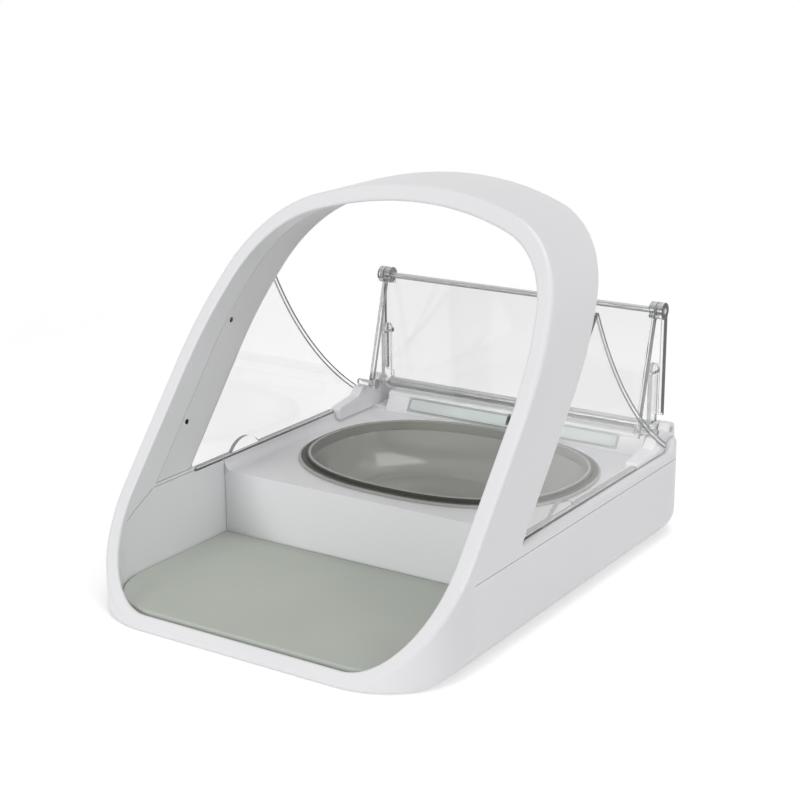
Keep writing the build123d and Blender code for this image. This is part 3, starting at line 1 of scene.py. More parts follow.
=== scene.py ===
"""Looks of a microchip pet feeder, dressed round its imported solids.

Metres, +Z up, +Y to the rear, origin on the table under the middle of the casing.
Sizes in the feeder's classes are millimetres, and depths count from the casing's front edge.
Sizes in the studio's classes are metres.
"""

import logging
import math
from dataclasses import dataclass
from dataclasses import field
from enum import Enum

import bmesh
import bpy
from mathutils import Matrix
from mathutils import Vector
from mathutils.bvhtree import BVHTree


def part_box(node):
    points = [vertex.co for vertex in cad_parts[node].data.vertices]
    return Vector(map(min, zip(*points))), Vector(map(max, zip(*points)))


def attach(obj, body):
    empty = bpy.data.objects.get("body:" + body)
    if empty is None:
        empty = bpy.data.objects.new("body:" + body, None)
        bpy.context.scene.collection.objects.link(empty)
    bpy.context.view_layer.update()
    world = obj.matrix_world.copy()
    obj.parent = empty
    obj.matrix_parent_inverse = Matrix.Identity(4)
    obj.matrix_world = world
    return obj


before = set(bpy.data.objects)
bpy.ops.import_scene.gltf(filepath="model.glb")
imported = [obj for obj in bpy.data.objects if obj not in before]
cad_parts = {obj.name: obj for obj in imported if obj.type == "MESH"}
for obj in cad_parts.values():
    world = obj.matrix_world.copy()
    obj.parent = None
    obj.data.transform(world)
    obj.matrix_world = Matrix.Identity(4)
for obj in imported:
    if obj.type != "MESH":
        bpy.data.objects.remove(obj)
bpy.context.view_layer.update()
LOG = logging.getLogger("feeder")

BMesh = bmesh.types.BMesh
Ring = list[bmesh.types.BMVert]
Tree = bpy.types.NodeTree
Socket = bpy.types.NodeSocket
Pair = tuple[float, float]
Triple = tuple[float, float, float]

MM = 0.001
FRONT_EDGE = -157.0  # Y of the casing's front edge
ARCH_LEAN = math.radians(39.35)  # arch's front face away from upright
ARCH_EDGE_HEIGHT = 2.4  # height where that face would meet the front edge
SIDEWAYS = (1.0, 0.0, 0.0)
PANEL_FACING = (0.0, -0.8725, 0.4886)  # direction of the service panel's front face
SMOOTH_ANGLE = math.radians(32)  # edges sharper than this stay sharp
NOISE_RANGE = (0.2, 0.8)  # where nearly all of the noise lies
BAR_FACETS = 8
BAR_PUSH = 1.35  # how far a bar's corners are pushed out before they are cut off level
RIDGE_SHOULDER = 0.3  # shoulder's height as a share of a ridge's rise
RIDGE_TOP = 0.5  # flat top as a share of a ridge's width


class Body(Enum):
    """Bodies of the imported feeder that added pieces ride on."""

    CASING = "casing"
    LEARN = "learn_key"
    OPEN = "open_key"
    DOOR_LEFT = "door_left"
    DOOR_RIGHT = "door_right"
    BOWL = "food_bowl"


class Side(Enum):
    """Left and right half of the feeder, as the animal sees it on its way in."""

    LEFT = -1
    RIGHT = 1


# ---------------------------------------------------------------- colour and nodes
def linear(code: str) -> tuple[float, float, float, float]:
    """Turns an sRGB hex colour into Blender's linear values.

    Args:
        code: Colour as #RRGGBB.

    Returns:
        Red, green, blue and an alpha of 1.
    """
    channels = [int(code[i : i + 2], 16) / 255 for i in (1, 3, 5)]
    low = [c / 12.92 for c in channels]
    high = [((c + 0.055) / 1.055) ** 2.4 for c in channels]
    return tuple(h if c > 0.04045 else s for c, s, h in zip(channels, low, high)) + (1.0,)


def add_node(
    tree: Tree, kind: str, inputs: dict[str | int, object] | None = None, **settings: object
) -> bpy.types.Node:
    """Adds one shader node with its settings, values and links.

    Args:
        tree: Node tree that gets the node.
        kind: Blender's node type.
        inputs: Socket name or number to a value, or to the socket that feeds it.
        **settings: Attributes of the node itself.

    Returns:
        The new node.
    """
    node = tree.nodes.new(kind)
    for name, value in settings.items():
        setattr(node, name, value)
    for key, value in (inputs or {}).items():
        if isinstance(value, Socket):
            tree.links.new(value, node.inputs[key])
        else:
            node.inputs[key].default_value = value
    return node


def new_material(name: str) -> tuple[bpy.types.Material, Tree, bpy.types.Node]:
    """Makes an empty node material.

    Args:
        name: Real material and how it was made.

    Returns:
        The material, its tree and its output node.
    """
    material = bpy.data.materials.new(name)
    material.use_nodes = True
    material.node_tree.nodes.clear()
    output = add_node(material.node_tree, "ShaderNodeOutputMaterial")
    return material, material.node_tree, output


def grain(
    tree: Tree, size_mm: float, detail: float = 2.0, stretch: Vector = Vector((1, 1, 1))
) -> bpy.types.Node:
    """Adds noise whose grains have a real size.

    Args:
        tree: Node tree that gets the noise.
        size_mm: Width of a grain.
        detail: Octaves of finer noise.
        stretch: How many times longer a grain is along each axis.

    Returns:
        The noise node.
    """
    place = add_node(tree, "ShaderNodeTexCoord")
    scale = add_node(
        tree, "ShaderNodeMapping", {"Vector": place.outputs["Object"], "Scale": [1 / s for s in stretch]}
    )
    return add_node(
        tree,
        "ShaderNodeTexNoise",
        {"Vector": scale.outputs[0], "Scale": 1 / (size_mm * MM), "Detail": detail, "Roughness": 0.5},
    )


def spread(tree: Tree, source: Socket, low: float, high: float) -> Socket:
    """Spreads noise between two values, with no flat stretch at either end.

    Args:
        tree: Node tree that gets the node.
        source: Noise from 0 to 1.
        low: Value at the noise's low end.
        high: Value at its high end.

    Returns:
        The spread value's socket.
    """
    limits = {"From Min": NOISE_RANGE[0], "From Max": NOISE_RANGE[1], "To Min": low, "To Max": high}
    return add_node(tree, "ShaderNodeMapRange", {"Value": source, **limits}, clamp=False).outputs[0]


def shade_between(tree: Tree, share: Socket, first: str, second: str) -> Socket:
    """Mixes two sRGB hex colours by a share.

    Args:
        tree: Node tree that gets the node.
        share: 0 for the first colour, 1 for the second.
        first: Hex colour.
        second: Hex colour.

    Returns:
        The mixed colour's socket.
    """
    node = add_node(
        tree, "ShaderNodeMix", {0: share, 6: linear(first), 7: linear(second)}, data_type="RGBA"
    )
    return node.outputs[2]


def compute(tree: Tree, operation: str, *values: float | Socket) -> Socket:
    """Adds one step of arithmetic.

    Args:
        tree: Node tree that gets the node.
        operation: Blender's name of the operation.
        *values: Numbers or sockets that it takes.

    Returns:
        The result's socket.
    """
    return add_node(tree, "ShaderNodeMath", dict(enumerate(values)), operation=operation).outputs[0]


def bump(
    tree: Tree, height: Socket, rise_mm: float, strength: float = 1.0, base: Socket | None = None
) -> Socket:
    """Adds a bump of a real height.

    Args:
        tree: Node tree that gets the node.
        height: Noise from 0 to 1.
        rise_mm: Height of the bump.
        strength: Share of it that shows.
        base: Coarser bump that this one lies on.

    Returns:
        The socket of the bent surface direction.
    """
    inputs = {"Height": height, "Distance": rise_mm * MM, "Strength": strength}
    if base is not None:
        inputs["Normal"] = base
    return add_node(tree, "ShaderNodeBump", inputs).outputs[0]


# ---------------------------------------------------------------- finishes
@dataclass(frozen=True)
class MouldedPlastic:
    """Opaque moulded plastic: even colour, soft gloss, the faint waviness of a polished mould.

    The grain of a spark-eroded mould is about 0.1 mm, too fine to show, so it is drawn at grain_mm.
    """

    name: str
    light: str
    deep: str
    roughness: float = 0.34
    roughness_spread: float = 0.03
    wave_mm: float = 26.0
    wave_height_mm: float = 0.012
    grain_mm: float = 0.8
    grain_height_mm: float = 0.004
    ior: float = 1.53
    cloud_mm: float = 80.0
    handling_mm: float = 30.0

    def build(self) -> bpy.types.Material:
        """Makes the material.

        Returns:
            The material.
        """
        material, tree, output = new_material(self.name)
        cloud = grain(tree, self.cloud_mm, 1.0)
        colour = shade_between(tree, spread(tree, cloud.outputs[0], 0.0, 1.0), self.light, self.deep)
        handling = grain(tree, self.handling_mm, 1.0)
        low = self.roughness - self.roughness_spread
        rough = spread(tree, handling.outputs[0], low, self.roughness + self.roughness_spread)
        wave = grain(tree, self.wave_mm, 0.0)
        waves = bump(tree, wave.outputs[0], self.wave_height_mm)
        pores = grain(tree, self.grain_mm, 1.0)
        surface = bump(tree, pores.outputs[0], self.grain_height_mm, base=waves)
        shader = add_node(
            tree,
            "ShaderNodeBsdfPrincipled",
            {"Base Color": colour, "Roughness": rough, "IOR": self.ior, "Normal": surface},
        )
        tree.links.new(shader.outputs[0], output.inputs[0])
        return material


@dataclass(frozen=True)
class ClearSheet:
    """Clear moulded sheet whose faces let light through.

    Its edges are painted grey, a painted shade standing in for the light led along the sheet. The narrow
    sides that face along X can have a darker painted shade, standing in for their being seen through the
    sheet's whole width.
    """

    name: str
    tint: str
    edge: str
    side: str
    facing: Triple
    edge_limit: float = 0.8
    roughness: float = 0.02
    ior: float = 1.49
    clearness: float = 1.0
    edge_clearness: float = 0.45
    side_limit: float = 0.9
    wipe_mm: float = 14.0
    wipe_spread: float = 0.5

    def along(self, tree: Tree, axis: Triple) -> Socket:
        """Adds nodes that say how squarely a face looks along an axis.

        Args:
            tree: Node tree that gets the nodes.
            axis: Unit vector in the feeder's frame.

        Returns:
            A socket that gives 0 to 1.
        """
        place = add_node(tree, "ShaderNodeTexCoord")
        dot = add_node(
            tree, "ShaderNodeVectorMath", {0: place.outputs["Normal"], 1: axis}, operation="DOT_PRODUCT"
        )
        return compute(tree, "ABSOLUTE", dot.outputs["Value"])

    def build(self) -> bpy.types.Material:
        """Makes the material.

        Returns:
            The material.
        """
        material, tree, output = new_material(self.name)
        # Painted shade: edges and sides get a darker colour by the way they face.
        is_edge = compute(tree, "LESS_THAN", self.along(tree, self.facing), self.edge_limit)
        is_side = compute(tree, "GREATER_THAN", self.along(tree, SIDEWAYS), self.side_limit)
        rim = shade_between(tree, is_side, self.edge, self.side)
        colour = add_node(
            tree, "ShaderNodeMix", {0: is_edge, 6: linear(self.tint), 7: rim}, data_type="RGBA"
        )
        wipe = grain(tree, self.wipe_mm, 3.0)
        least = self.roughness * (1 - self.wipe_spread)
        rough = spread(tree, wipe.outputs[0], least, self.roughness * (1 + self.wipe_spread))
        clear = add_node(
            tree,
            "ShaderNodeMapRange",
            {"Value": is_edge, "To Min": self.clearness, "To Max": self.edge_clearness},
        )
        shader = add_node(
            tree,
            "ShaderNodeBsdfPrincipled",
            {
                "Base Color": colour.outputs[2],
                "Roughness": rough,
                "IOR": self.ior,
                "Transmission Weight": clear.outputs[0],
            },
        )
        lamps = add_node(tree, "ShaderNodeBsdfTransparent", {"Color": linear(self.tint)})
        path = add_node(tree, "ShaderNodeLightPath")
        mix = add_node(
            tree,
            "ShaderNodeMixShader",
            {0: path.outputs["Is Shadow Ray"], 1: shader.outputs[0], 2: lamps.outputs[0]},
        )
        tree.links.new(mix.outputs[0], output.inputs[0])
        return material


@dataclass(frozen=True)
class Elastomer:
    """Moulded soft rubber: matt, with a fine eroded texture that scatters light."""

    name: str
    light: str
    deep: str
    roughness: float = 0.72
    grain_mm: float = 0.6
    grain_height_mm: float = 0.02
    grain_strength: float = 0.6
    ior: float = 1.41
    cloud_mm: float = 60.0
    roughness_spread: float = 0.05

    def build(self) -> bpy.types.Material:
        """Makes the material.

        Returns:
            The material.
        """
        material, tree, output = new_material(self.name)
        cloud = grain(tree, self.cloud_mm, 1.0)
        colour = shade_between(tree, spread(tree, cloud.outputs[0], 0.0, 1.0), self.light, self.deep)
        pores = grain(tree, self.grain_mm, 2.0)
        surface = bump(tree, pores.outputs[0], self.grain_height_mm, self.grain_strength)
        low = self.roughness - self.roughness_spread
        rough = spread(tree, pores.outputs[0], low, self.roughness + self.roughness_spread)
        shader = add_node(
            tree,
            "ShaderNodeBsdfPrincipled",
            {"Base Color": colour, "Roughness": rough, "IOR": self.ior, "Normal": surface},
        )
        tree.links.new(shader.outputs[0], output.inputs[0])
        return material


@dataclass(frozen=True)
class DrawnMetal:
    """Drawn or ground metal: fine lines along X, coarser than real ones so that they show."""

    name: str
    light: str
    deep: str
    roughness: float = 0.32
    roughness_spread: float = 0.07
    line_mm: float = 0.25
    line_stretch: float = 60

    def build(self) -> bpy.types.Material:
        """Makes the material.

        Returns:
            The material.
        """
        material, tree, output = new_material(self.name)
        lines = grain(tree, self.line_mm, 2.0, Vector((self.line_stretch, 1, 1)))
        colour = shade_between(tree, spread(tree, lines.outputs[0], 0.0, 1.0), self.light, self.deep)
        low = self.roughness - self.roughness_spread
        rough = spread(tree, lines.outputs[0], low, self.roughness + self.roughness_spread)
        shader = add_node(
            tree, "ShaderNodeBsdfPrincipled", {"Base Color": colour, "Metallic": 1.0, "Roughness": rough}
        )
        tree.links.new(shader.outputs[0], output.inputs[0])
        return material


Finish = MouldedPlastic | ClearSheet | Elastomer | DrawnMetal

# ---------------------------------------------------------------- the feeder's finishes
# ABS from a polished mould: clean light grey-white with a soft, broad gloss.
WHITE_ABS = MouldedPlastic("abs_moulded_gloss_white", "#E4E4E6", "#E0E0E2")
# The liner comes from a finer spark-eroded mould: the same white, a little duller.
LINER_ABS = MouldedPlastic("abs_moulded_satin_white", "#DEDEDF", "#DADADB", roughness=0.42)
GREY_ABS = MouldedPlastic("abs_moulded_satin_grey", "#8E9294", "#85898B", roughness=0.42)
PALE_ABS = MouldedPlastic("abs_moulded_satin_pale_grey", "#D2D4D4", "#CBCDCD", roughness=0.4)
# Acetal, the gear plastic: waxy, slightly warm off-white, or dyed black for the slider.
BLACK_ACETAL = MouldedPlastic("acetal_moulded_black", "#1B1C1D", "#141516", roughness=0.45)
NATURAL_ACETAL = MouldedPlastic("acetal_moulded_natural", "#E2E2E0", "#DADAD7", roughness=0.45)
# Bowl: grey-green ABS, glossier than the casing, so soft lamps mirror in it.
BOWL_ABS = MouldedPlastic("abs_moulded_gloss_grey_green", "#9C9D97", "#94958F", roughness=0.14)
LENS_RESIN = MouldedPlastic("epoxy_cast_black_lens", "#050506", "#030303", roughness=0.12)
LIGHT_PIPE = MouldedPlastic("polycarbonate_moulded_diffusing", "#C4D2C6", "#B8C8BB", roughness=0.2)
LAMINATE = MouldedPlastic("glass_epoxy_solder_masked", "#1F5A3A", "#184A30", roughness=0.3)
# Silicone of the mat: sage grey, dusty matt.
MAT_RUBBER = Elastomer("silicone_moulded_sage_grey", "#BABFB7", "#B4B9B1")
SEAL_RUBBER = Elastomer("silicone_moulded_dark_grey", "#4A4A46", "#403F3C", roughness=0.5)
FOOT_RUBBER = Elastomer("rubber_moulded_black", "#262626", "#1D1D1D")
# Clear acrylic: neutral, faces almost free of colour, edges and sides with a painted grey shade.
SCREEN_ACRYLIC = ClearSheet("acrylic_moulded_clear_screen", "#F6F6F6", "#B4B6B6", "#F6F6F6", SIDEWAYS)
REAR_ACRYLIC = ClearSheet("acrylic_moulded_clear_rear", "#F5F5F5", "#C2C4C4", "#3C3E3F", (0.0, 1.0, 0.0))
FRONT_ACRYLIC = ClearSheet("acrylic_moulded_clear_front", "#F5F5F5", "#BDBFBF", "#A0A2A2", (0.0, 1.0, 0.0))
ARM_ACRYLIC = ClearSheet("acrylic_moulded_clear_arm", "#F5F5F5", "#C6C8C8", "#F5F5F5", SIDEWAYS)
# Polycarbonate of the panel: only part clear, with a faint grey-green tint.
# Its edges get a painted grey-green shade.
PANEL_POLYCARBONATE = ClearSheet(
    "polycarbonate_moulded_grey_green",
    "#E0E7E5",
    "#7D8784",
    "#7D8784",
    PANEL_FACING,
    roughness=0.08,
    clearness=0.35,
)
PANEL_EDGE = MouldedPlastic("polycarbonate_moulded_border", "#8A9491", "#828C89", roughness=0.25)
# Corners of a screen's rolled edge: no light leaves the sheet there, so they read as grey lines.
EDGE_LINE = MouldedPlastic("acrylic_moulded_edge_corner", "#8F9293", "#878A8B", roughness=0.15)
# The darker line in front of the rolled edge, where it steps in, is painted shade.
STEP_SHADE_LINE = MouldedPlastic("acrylic_moulded_edge_step", "#5F6263", "#585B5C", roughness=0.15)
# The open joint between two mouldings lies in shadow, a mid grey line.
JOINT_SHADOW = MouldedPlastic("abs_moulded_joint_in_shadow", "#8C8C8E", "#868688", roughness=0.6)
STEEL_ROD = DrawnMetal("steel_ground", "#DADADA", "#C8C8C8")
ALLOY_ROD = DrawnMetal("aluminium_drawn_satin", "#C0C1C2", "#B6B7B8", roughness=0.5)
COPPER = DrawnMetal("copper_wound_enamelled", "#B8693C", "#9C5230")
CAN = DrawnMetal("steel_drawn_battery_can", "#8B8E92", "#75787B")


@dataclass
class Wardrobe:
    """Makes each finish once and puts it on CAD nodes and added pieces."""

    made: dict[str, bpy.types.Material] = field(default_factory=dict)

    def cloth(self, finish: Finish) -> bpy.types.Material:
        """Gets a finish's material, made on first use.

        Args:
            finish: The finish.

        Returns:
            Its material.
        """
        if finish.name not in self.made:
            self.made[finish.name] = finish.build()
        return self.made[finish.name]

    def dress(self, finish: Finish, *nodes: str) -> None:
        """Puts one finish on some CAD nodes.

        Args:
            finish: Finish for all of them.
            *nodes: Names of the CAD nodes.
        """
        for name in nodes:
            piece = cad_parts[name]
            for slot in piece.material_slots:
                slot.material = self.cloth(finish)
            piece.data.shade_smooth()
            piece.data.set_sharp_from_angle(angle=SMOOTH_ANGLE)
            LOG.info("%s wears %s", name, finish.name)

    def add(self, piece: bpy.types.Object, finish: Finish, body: Body, slot: str) -> None:
        """Finishes an added piece and lets it ride on its body.

        Args:
            piece: New mesh object.
            finish: Its finish.
            body: Body that carries it.
            slot: Material slot of the record that it belongs to; not used.
        """
        piece.data.materials.append(self.cloth(finish))
        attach(piece, body.value)
        LOG.info("%s rides on %s in %s", piece.name, body.value, finish.name)


# ---------------------------------------------------------------- places and mesh helpers
def arch_face(height: float) -> float:
    """Depth of the arch's leaning front face at a height."""
    return (height - ARCH_EDGE_HEIGHT) * math.tan(ARCH_LEAN)


def cad_mesh(node: str) -> BMesh:
    """Copies a CAD node's mesh in the feeder's frame.

    Args:
        node: Name of the CAD node.

    Returns:
        The copy, which its user frees.
    """
    mesh = bmesh.new()
    mesh.from_mesh(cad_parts[node].data)
    mesh.transform(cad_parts[node].matrix_world)
    return mesh


def add_object(name: str, data: bpy.types.ID) -> bpy.types.Object:
    """Adds an object to the scene.

    Args:
        name: Its name.
        data: Its mesh, lamp or camera data.

    Returns:
        The object.
    """
    item = bpy.data.objects.new(name, data)
    bpy.context.scene.collection.objects.link(item)
    return item


def piece_from(mesh: BMesh, name: str) -> bpy.types.Object:
    """Turns finished mesh data into a smooth-shaded object in the scene.

    Args:
        mesh: Mesh in metres, freed here.
        name: Name of the new piece.

    Returns:
        The object.
    """
    bmesh.ops.recalc_face_normals(mesh, faces=mesh.faces)
    data = bpy.data.meshes.new(name)
    mesh.to_mesh(data)
    mesh.free()
    data.shade_smooth()
    data.set_sharp_from_angle(angle=SMOOTH_ANGLE)
    return add_object(name, data)


def heading(path: list[Vector], index: int) -> Vector:
    """Direction of a path at one of its points."""
    return (path[min(index + 1, len(path) - 1)] - path[max(index - 1, 0)]).normalized()


def bridge(mesh: BMesh, first: Ring, second: Ring) -> None:
    """Joins two rings of as many points with a band of faces.

    Args:
        mesh: Mesh that holds the points.
        first: Points of one ring.
        second: Points of the other, in the same order.
    """
    count = len(first)
    for index in range(count):
        nxt = (index + 1) % count
        mesh.faces.new((first[index], first[nxt], second[nxt], second[index]))


def close_bar(mesh: BMesh, rings: list[Ring]) -> None:
    """Joins a bar's rings in order and caps both ends.

    Args:
        mesh: Mesh that holds the points.
        rings: Rings from one end to the other.
    """
    for first, second in zip(rings, rings[1:]):
        bridge(mesh, first, second)
    mesh.faces.new(rings[0])
    mesh.faces.new(list(reversed(rings[-1])))


def close_loop(mesh: BMesh, rings: list[Ring]) -> None:
    """Joins rings in order, and the last one to the first.

    Args:
        mesh: Mesh that holds the points.
        rings: Rings in order round the loop.
    """
    for first, second in zip(rings, [*rings[1:], rings[0]]):
        bridge(mesh, first, second)


def sweep(mesh: BMesh, path: list[Vector], half_wide: float, half_high: float, wide: Vector) -> None:
    """Adds a bar with rounded corners along a path.

    Args:
        mesh: Mesh that gets the bar.
        path: Points in metres.
        half_wide: Half width along wide, in metres.
        half_high: Half height across it, in metres.
        wide: Direction of the width.
    """
    rings = []
    for index, point in enumerate(path):
        high = heading(path, index).cross(wide).normalized()
        ring = []
        for step in range(BAR_FACETS):
            angle = 2 * math.pi * (step + 0.5) / BAR_FACETS
            across = half_wide * min(1.0, max(-1.0, BAR_PUSH * math.cos(angle)))
            up = half_high * min(1.0, max(-1.0, BAR_PUSH * math.sin(angle)))
            ring.append(mesh.verts.new(point + wide * across + high * up))
        rings.append(ring)
    close_bar(mesh, rings)


def sweep_flat(mesh: BMesh, path: list[Vector], half: float, rise: float, facing: Vector) -> None:
    """Adds a low ridge with a rounded top along a path on a flat face.

    Args:
        mesh: Mesh that gets the ridge.
        path: Points in metres.
        half: Half width in metres.
        rise: Height above the face in metres.
        facing: Direction of the face.
    """
    left = [(-half, -rise), (-half, rise * RIDGE_SHOULDER), (-half * RIDGE_TOP, rise)]
    profile = left + [(-side, up) for side, up in reversed(left)]
    rings = []
    for index, point in enumerate(path):
        across = heading(path, index).cross(facing).normalized()
        rings.append([mesh.verts.new(point + across * side + facing * up) for side, up in profile])
    close_bar(mesh, rings)


def lathe(mesh: BMesh, profile: list[Pair], spot: Matrix, steps: int = 32) -> None:
    """Adds a turned form round the Z axis of a place.

    Args:
        mesh: Mesh that gets the form.
        profile: Radius and height pairs in metres, a closed loop.
        spot: Place and direction of the axis.
        steps: Facets round the axis.
    """
    rings = []
    for step in range(steps):
        angle = 2 * math.pi * step / steps
        points = [Vector((r * math.cos(angle), r * math.sin(angle), z)) for r, z in profile]
        rings.append([mesh.verts.new(spot @ point) for point in points])
    close_loop(mesh, rings)


def block(mesh: BMesh, low: Vector, high: Vector, soften: float) -> None:
    """Adds a bar with softened edges between two corners.

    Args:
        mesh: Mesh that gets the bar.
        low: Lowest corner in metres.
        high: Highest corner in metres.
        soften: Width of the edge bevel in metres.
    """
    made = bmesh.ops.create_cube(mesh, size=1.0)
    size = high - low
    for vert in made["verts"]:
        vert.co = Vector([low[i] + (vert.co[i] + 0.5) * size[i] for i in range(3)])
    edges = list({edge for vert in made["verts"] for edge in vert.link_edges})
    bmesh.ops.bevel(mesh, geom=edges, offset=soften, segments=2, affect="EDGES", profile=0.5)


# ---------------------------------------------------------------- sub-assemblies
@dataclass
class Casing:
    """Lower and upper moulding, the arch's liner and coil, circuit board, feet and screws."""

    screw_x: float = 99.5
    screw_depths: Pair = (142.0, 255.0)
    screw_face: float = 1.2
    cross_reach: float = 1.7
    cross_half: float = 0.35
    cross_high: float = 0.08
    cross_soften: float = 0.02

    def dress(self, wardrobe: Wardrobe) -> None:
        """Puts the finishes on the casing's nodes.

        Args:
            wardrobe: Finishes.
        """
        wardrobe.dress(WHITE_ABS, "lower_casing", "upper_casing")
        wardrobe.dress(LINER_ABS, "arch_liner")
        wardrobe.dress(COPPER, "antenna_coil")
        wardrobe.dress(FOOT_RUBBER, "rubber_feet")
        wardrobe.dress(STEEL_ROD, "casing_screws")
        wardrobe.dress(LAMINATE, "circuit_board")

    def build_screw_cross_shade(self, wardrobe: Wardrobe) -> None:
        """Makes black crosses on the screw heads, seen from below: painted shade that stands in for their
        cross recesses.

        Args:
            wardrobe: Finishes.
        """
        mesh = bmesh.new()
        for side in Side:
            for spot in self.screw_depths:
                middle = Vector((side.value * self.screw_x, FRONT_EDGE + spot, self.screw_face)) * MM
                for reach in ((self.cross_reach, self.cross_half), (self.cross_half, self.cross_reach)):
                    half = Vector((reach[0], reach[1], self.cross_high)) * MM
                    block(mesh, middle - half, middle + half, self.cross_soften * MM)
        # Painted shade: black slabs where the screws' cross recesses lie in shadow.
        wardrobe.add(piece_from(mesh, "screw_cross_painted_shade"), BLACK_ACETAL, Body.CASING, "casing_screws")


@dataclass
class CornerWall:
    """Inner wall of the two rounded rear corners beside the battery doors.

    It lies just inside the casing's outer face, a ring of the edge's radius turned round the corner's axis.
    """

    corner_x: float = 86.5
    corner_depth: float = 284.0
    corner_radius: float = 30.0
    edge_radius: float = 14.0
    floor: float = 1.0
    inset: float = 0.12
    thick: float = 1.2
    door_side: float = 100.7
    top: float = 22.0
    start_share: float = 0.12
    steps: int = 14

    def skins(self, inset: float) -> list[Pair]:
        """Works out the wall's profile at a distance inside the outer face.

        Args:
            inset: Distance inside the outer face.

        Returns:
            Radius from the corner's axis and height, from the floor up.
        """
        bend = self.edge_radius - inset
        points = []
        for step in range(self.steps + 1):
            angle = math.pi / 2 * (self.start_share + (1 - self.start_share) * step / self.steps)
            radius = self.corner_radius - self.edge_radius + bend * math.sin(angle)
            points.append((radius, self.floor + self.edge_radius - bend * math.cos(angle)))
        return [*points, (self.corner_radius - inset, self.top)]

    def build(self, wardrobe: Wardrobe) -> None:
        """Makes the wall of each corner.

        Args:
            wardrobe: Finishes.
        """
        for side in Side:
            mesh = bmesh.new()
            sheets = []
            for inset in (self.inset, self.inset + self.thick):
                rows = []
                for radius, height in self.skins(inset):
                    reach = math.acos(min(1.0, (self.door_side - self.corner_x) / radius))
                    row = []
                    for step in range(self.steps + 1):
                        angle = reach * step / self.steps
                        x = self.corner_x + radius * math.cos(angle)
                        depth = self.corner_depth + radius * math.sin(angle)
                        row.append(mesh.verts.new(Vector((side.value * x, FRONT_EDGE + depth, height)) * MM))
                    rows.append(row)
                sheets.append(rows)
            self.skin(mesh, sheets)
            piece = piece_from(mesh, f"corner_wall_{side.name.lower()}")
            wardrobe.add(piece, WHITE_ABS, Body.CASING, "lower_casing")

    def skin(self, mesh: BMesh, sheets: list[list[Ring]]) -> None:
        """Joins the outer and inner sheet into a closed wall.

        Args:
            mesh: Mesh that holds the points.
            sheets: Two grids of points.
        """
        rows, columns = len(sheets[0]), len(sheets[0][0])
        for grid in sheets:
            for row in range(rows - 1):
                for column in range(columns - 1):
                    corners = (grid[row][column], grid[row][column + 1])
                    mesh.faces.new((*corners, grid[row + 1][column + 1], grid[row + 1][column]))
        rim = [(0, c) for c in range(columns)] + [(r, columns - 1) for r in range(1, rows)]
        rim += [(rows - 1, c) for c in range(columns - 2, -1, -1)] + [(r, 0) for r in range(rows - 2, 0, -1)]
        outer, inner = ([grid[row][column] for row, column in rim] for grid in sheets)
        bridge(mesh, outer, inner)


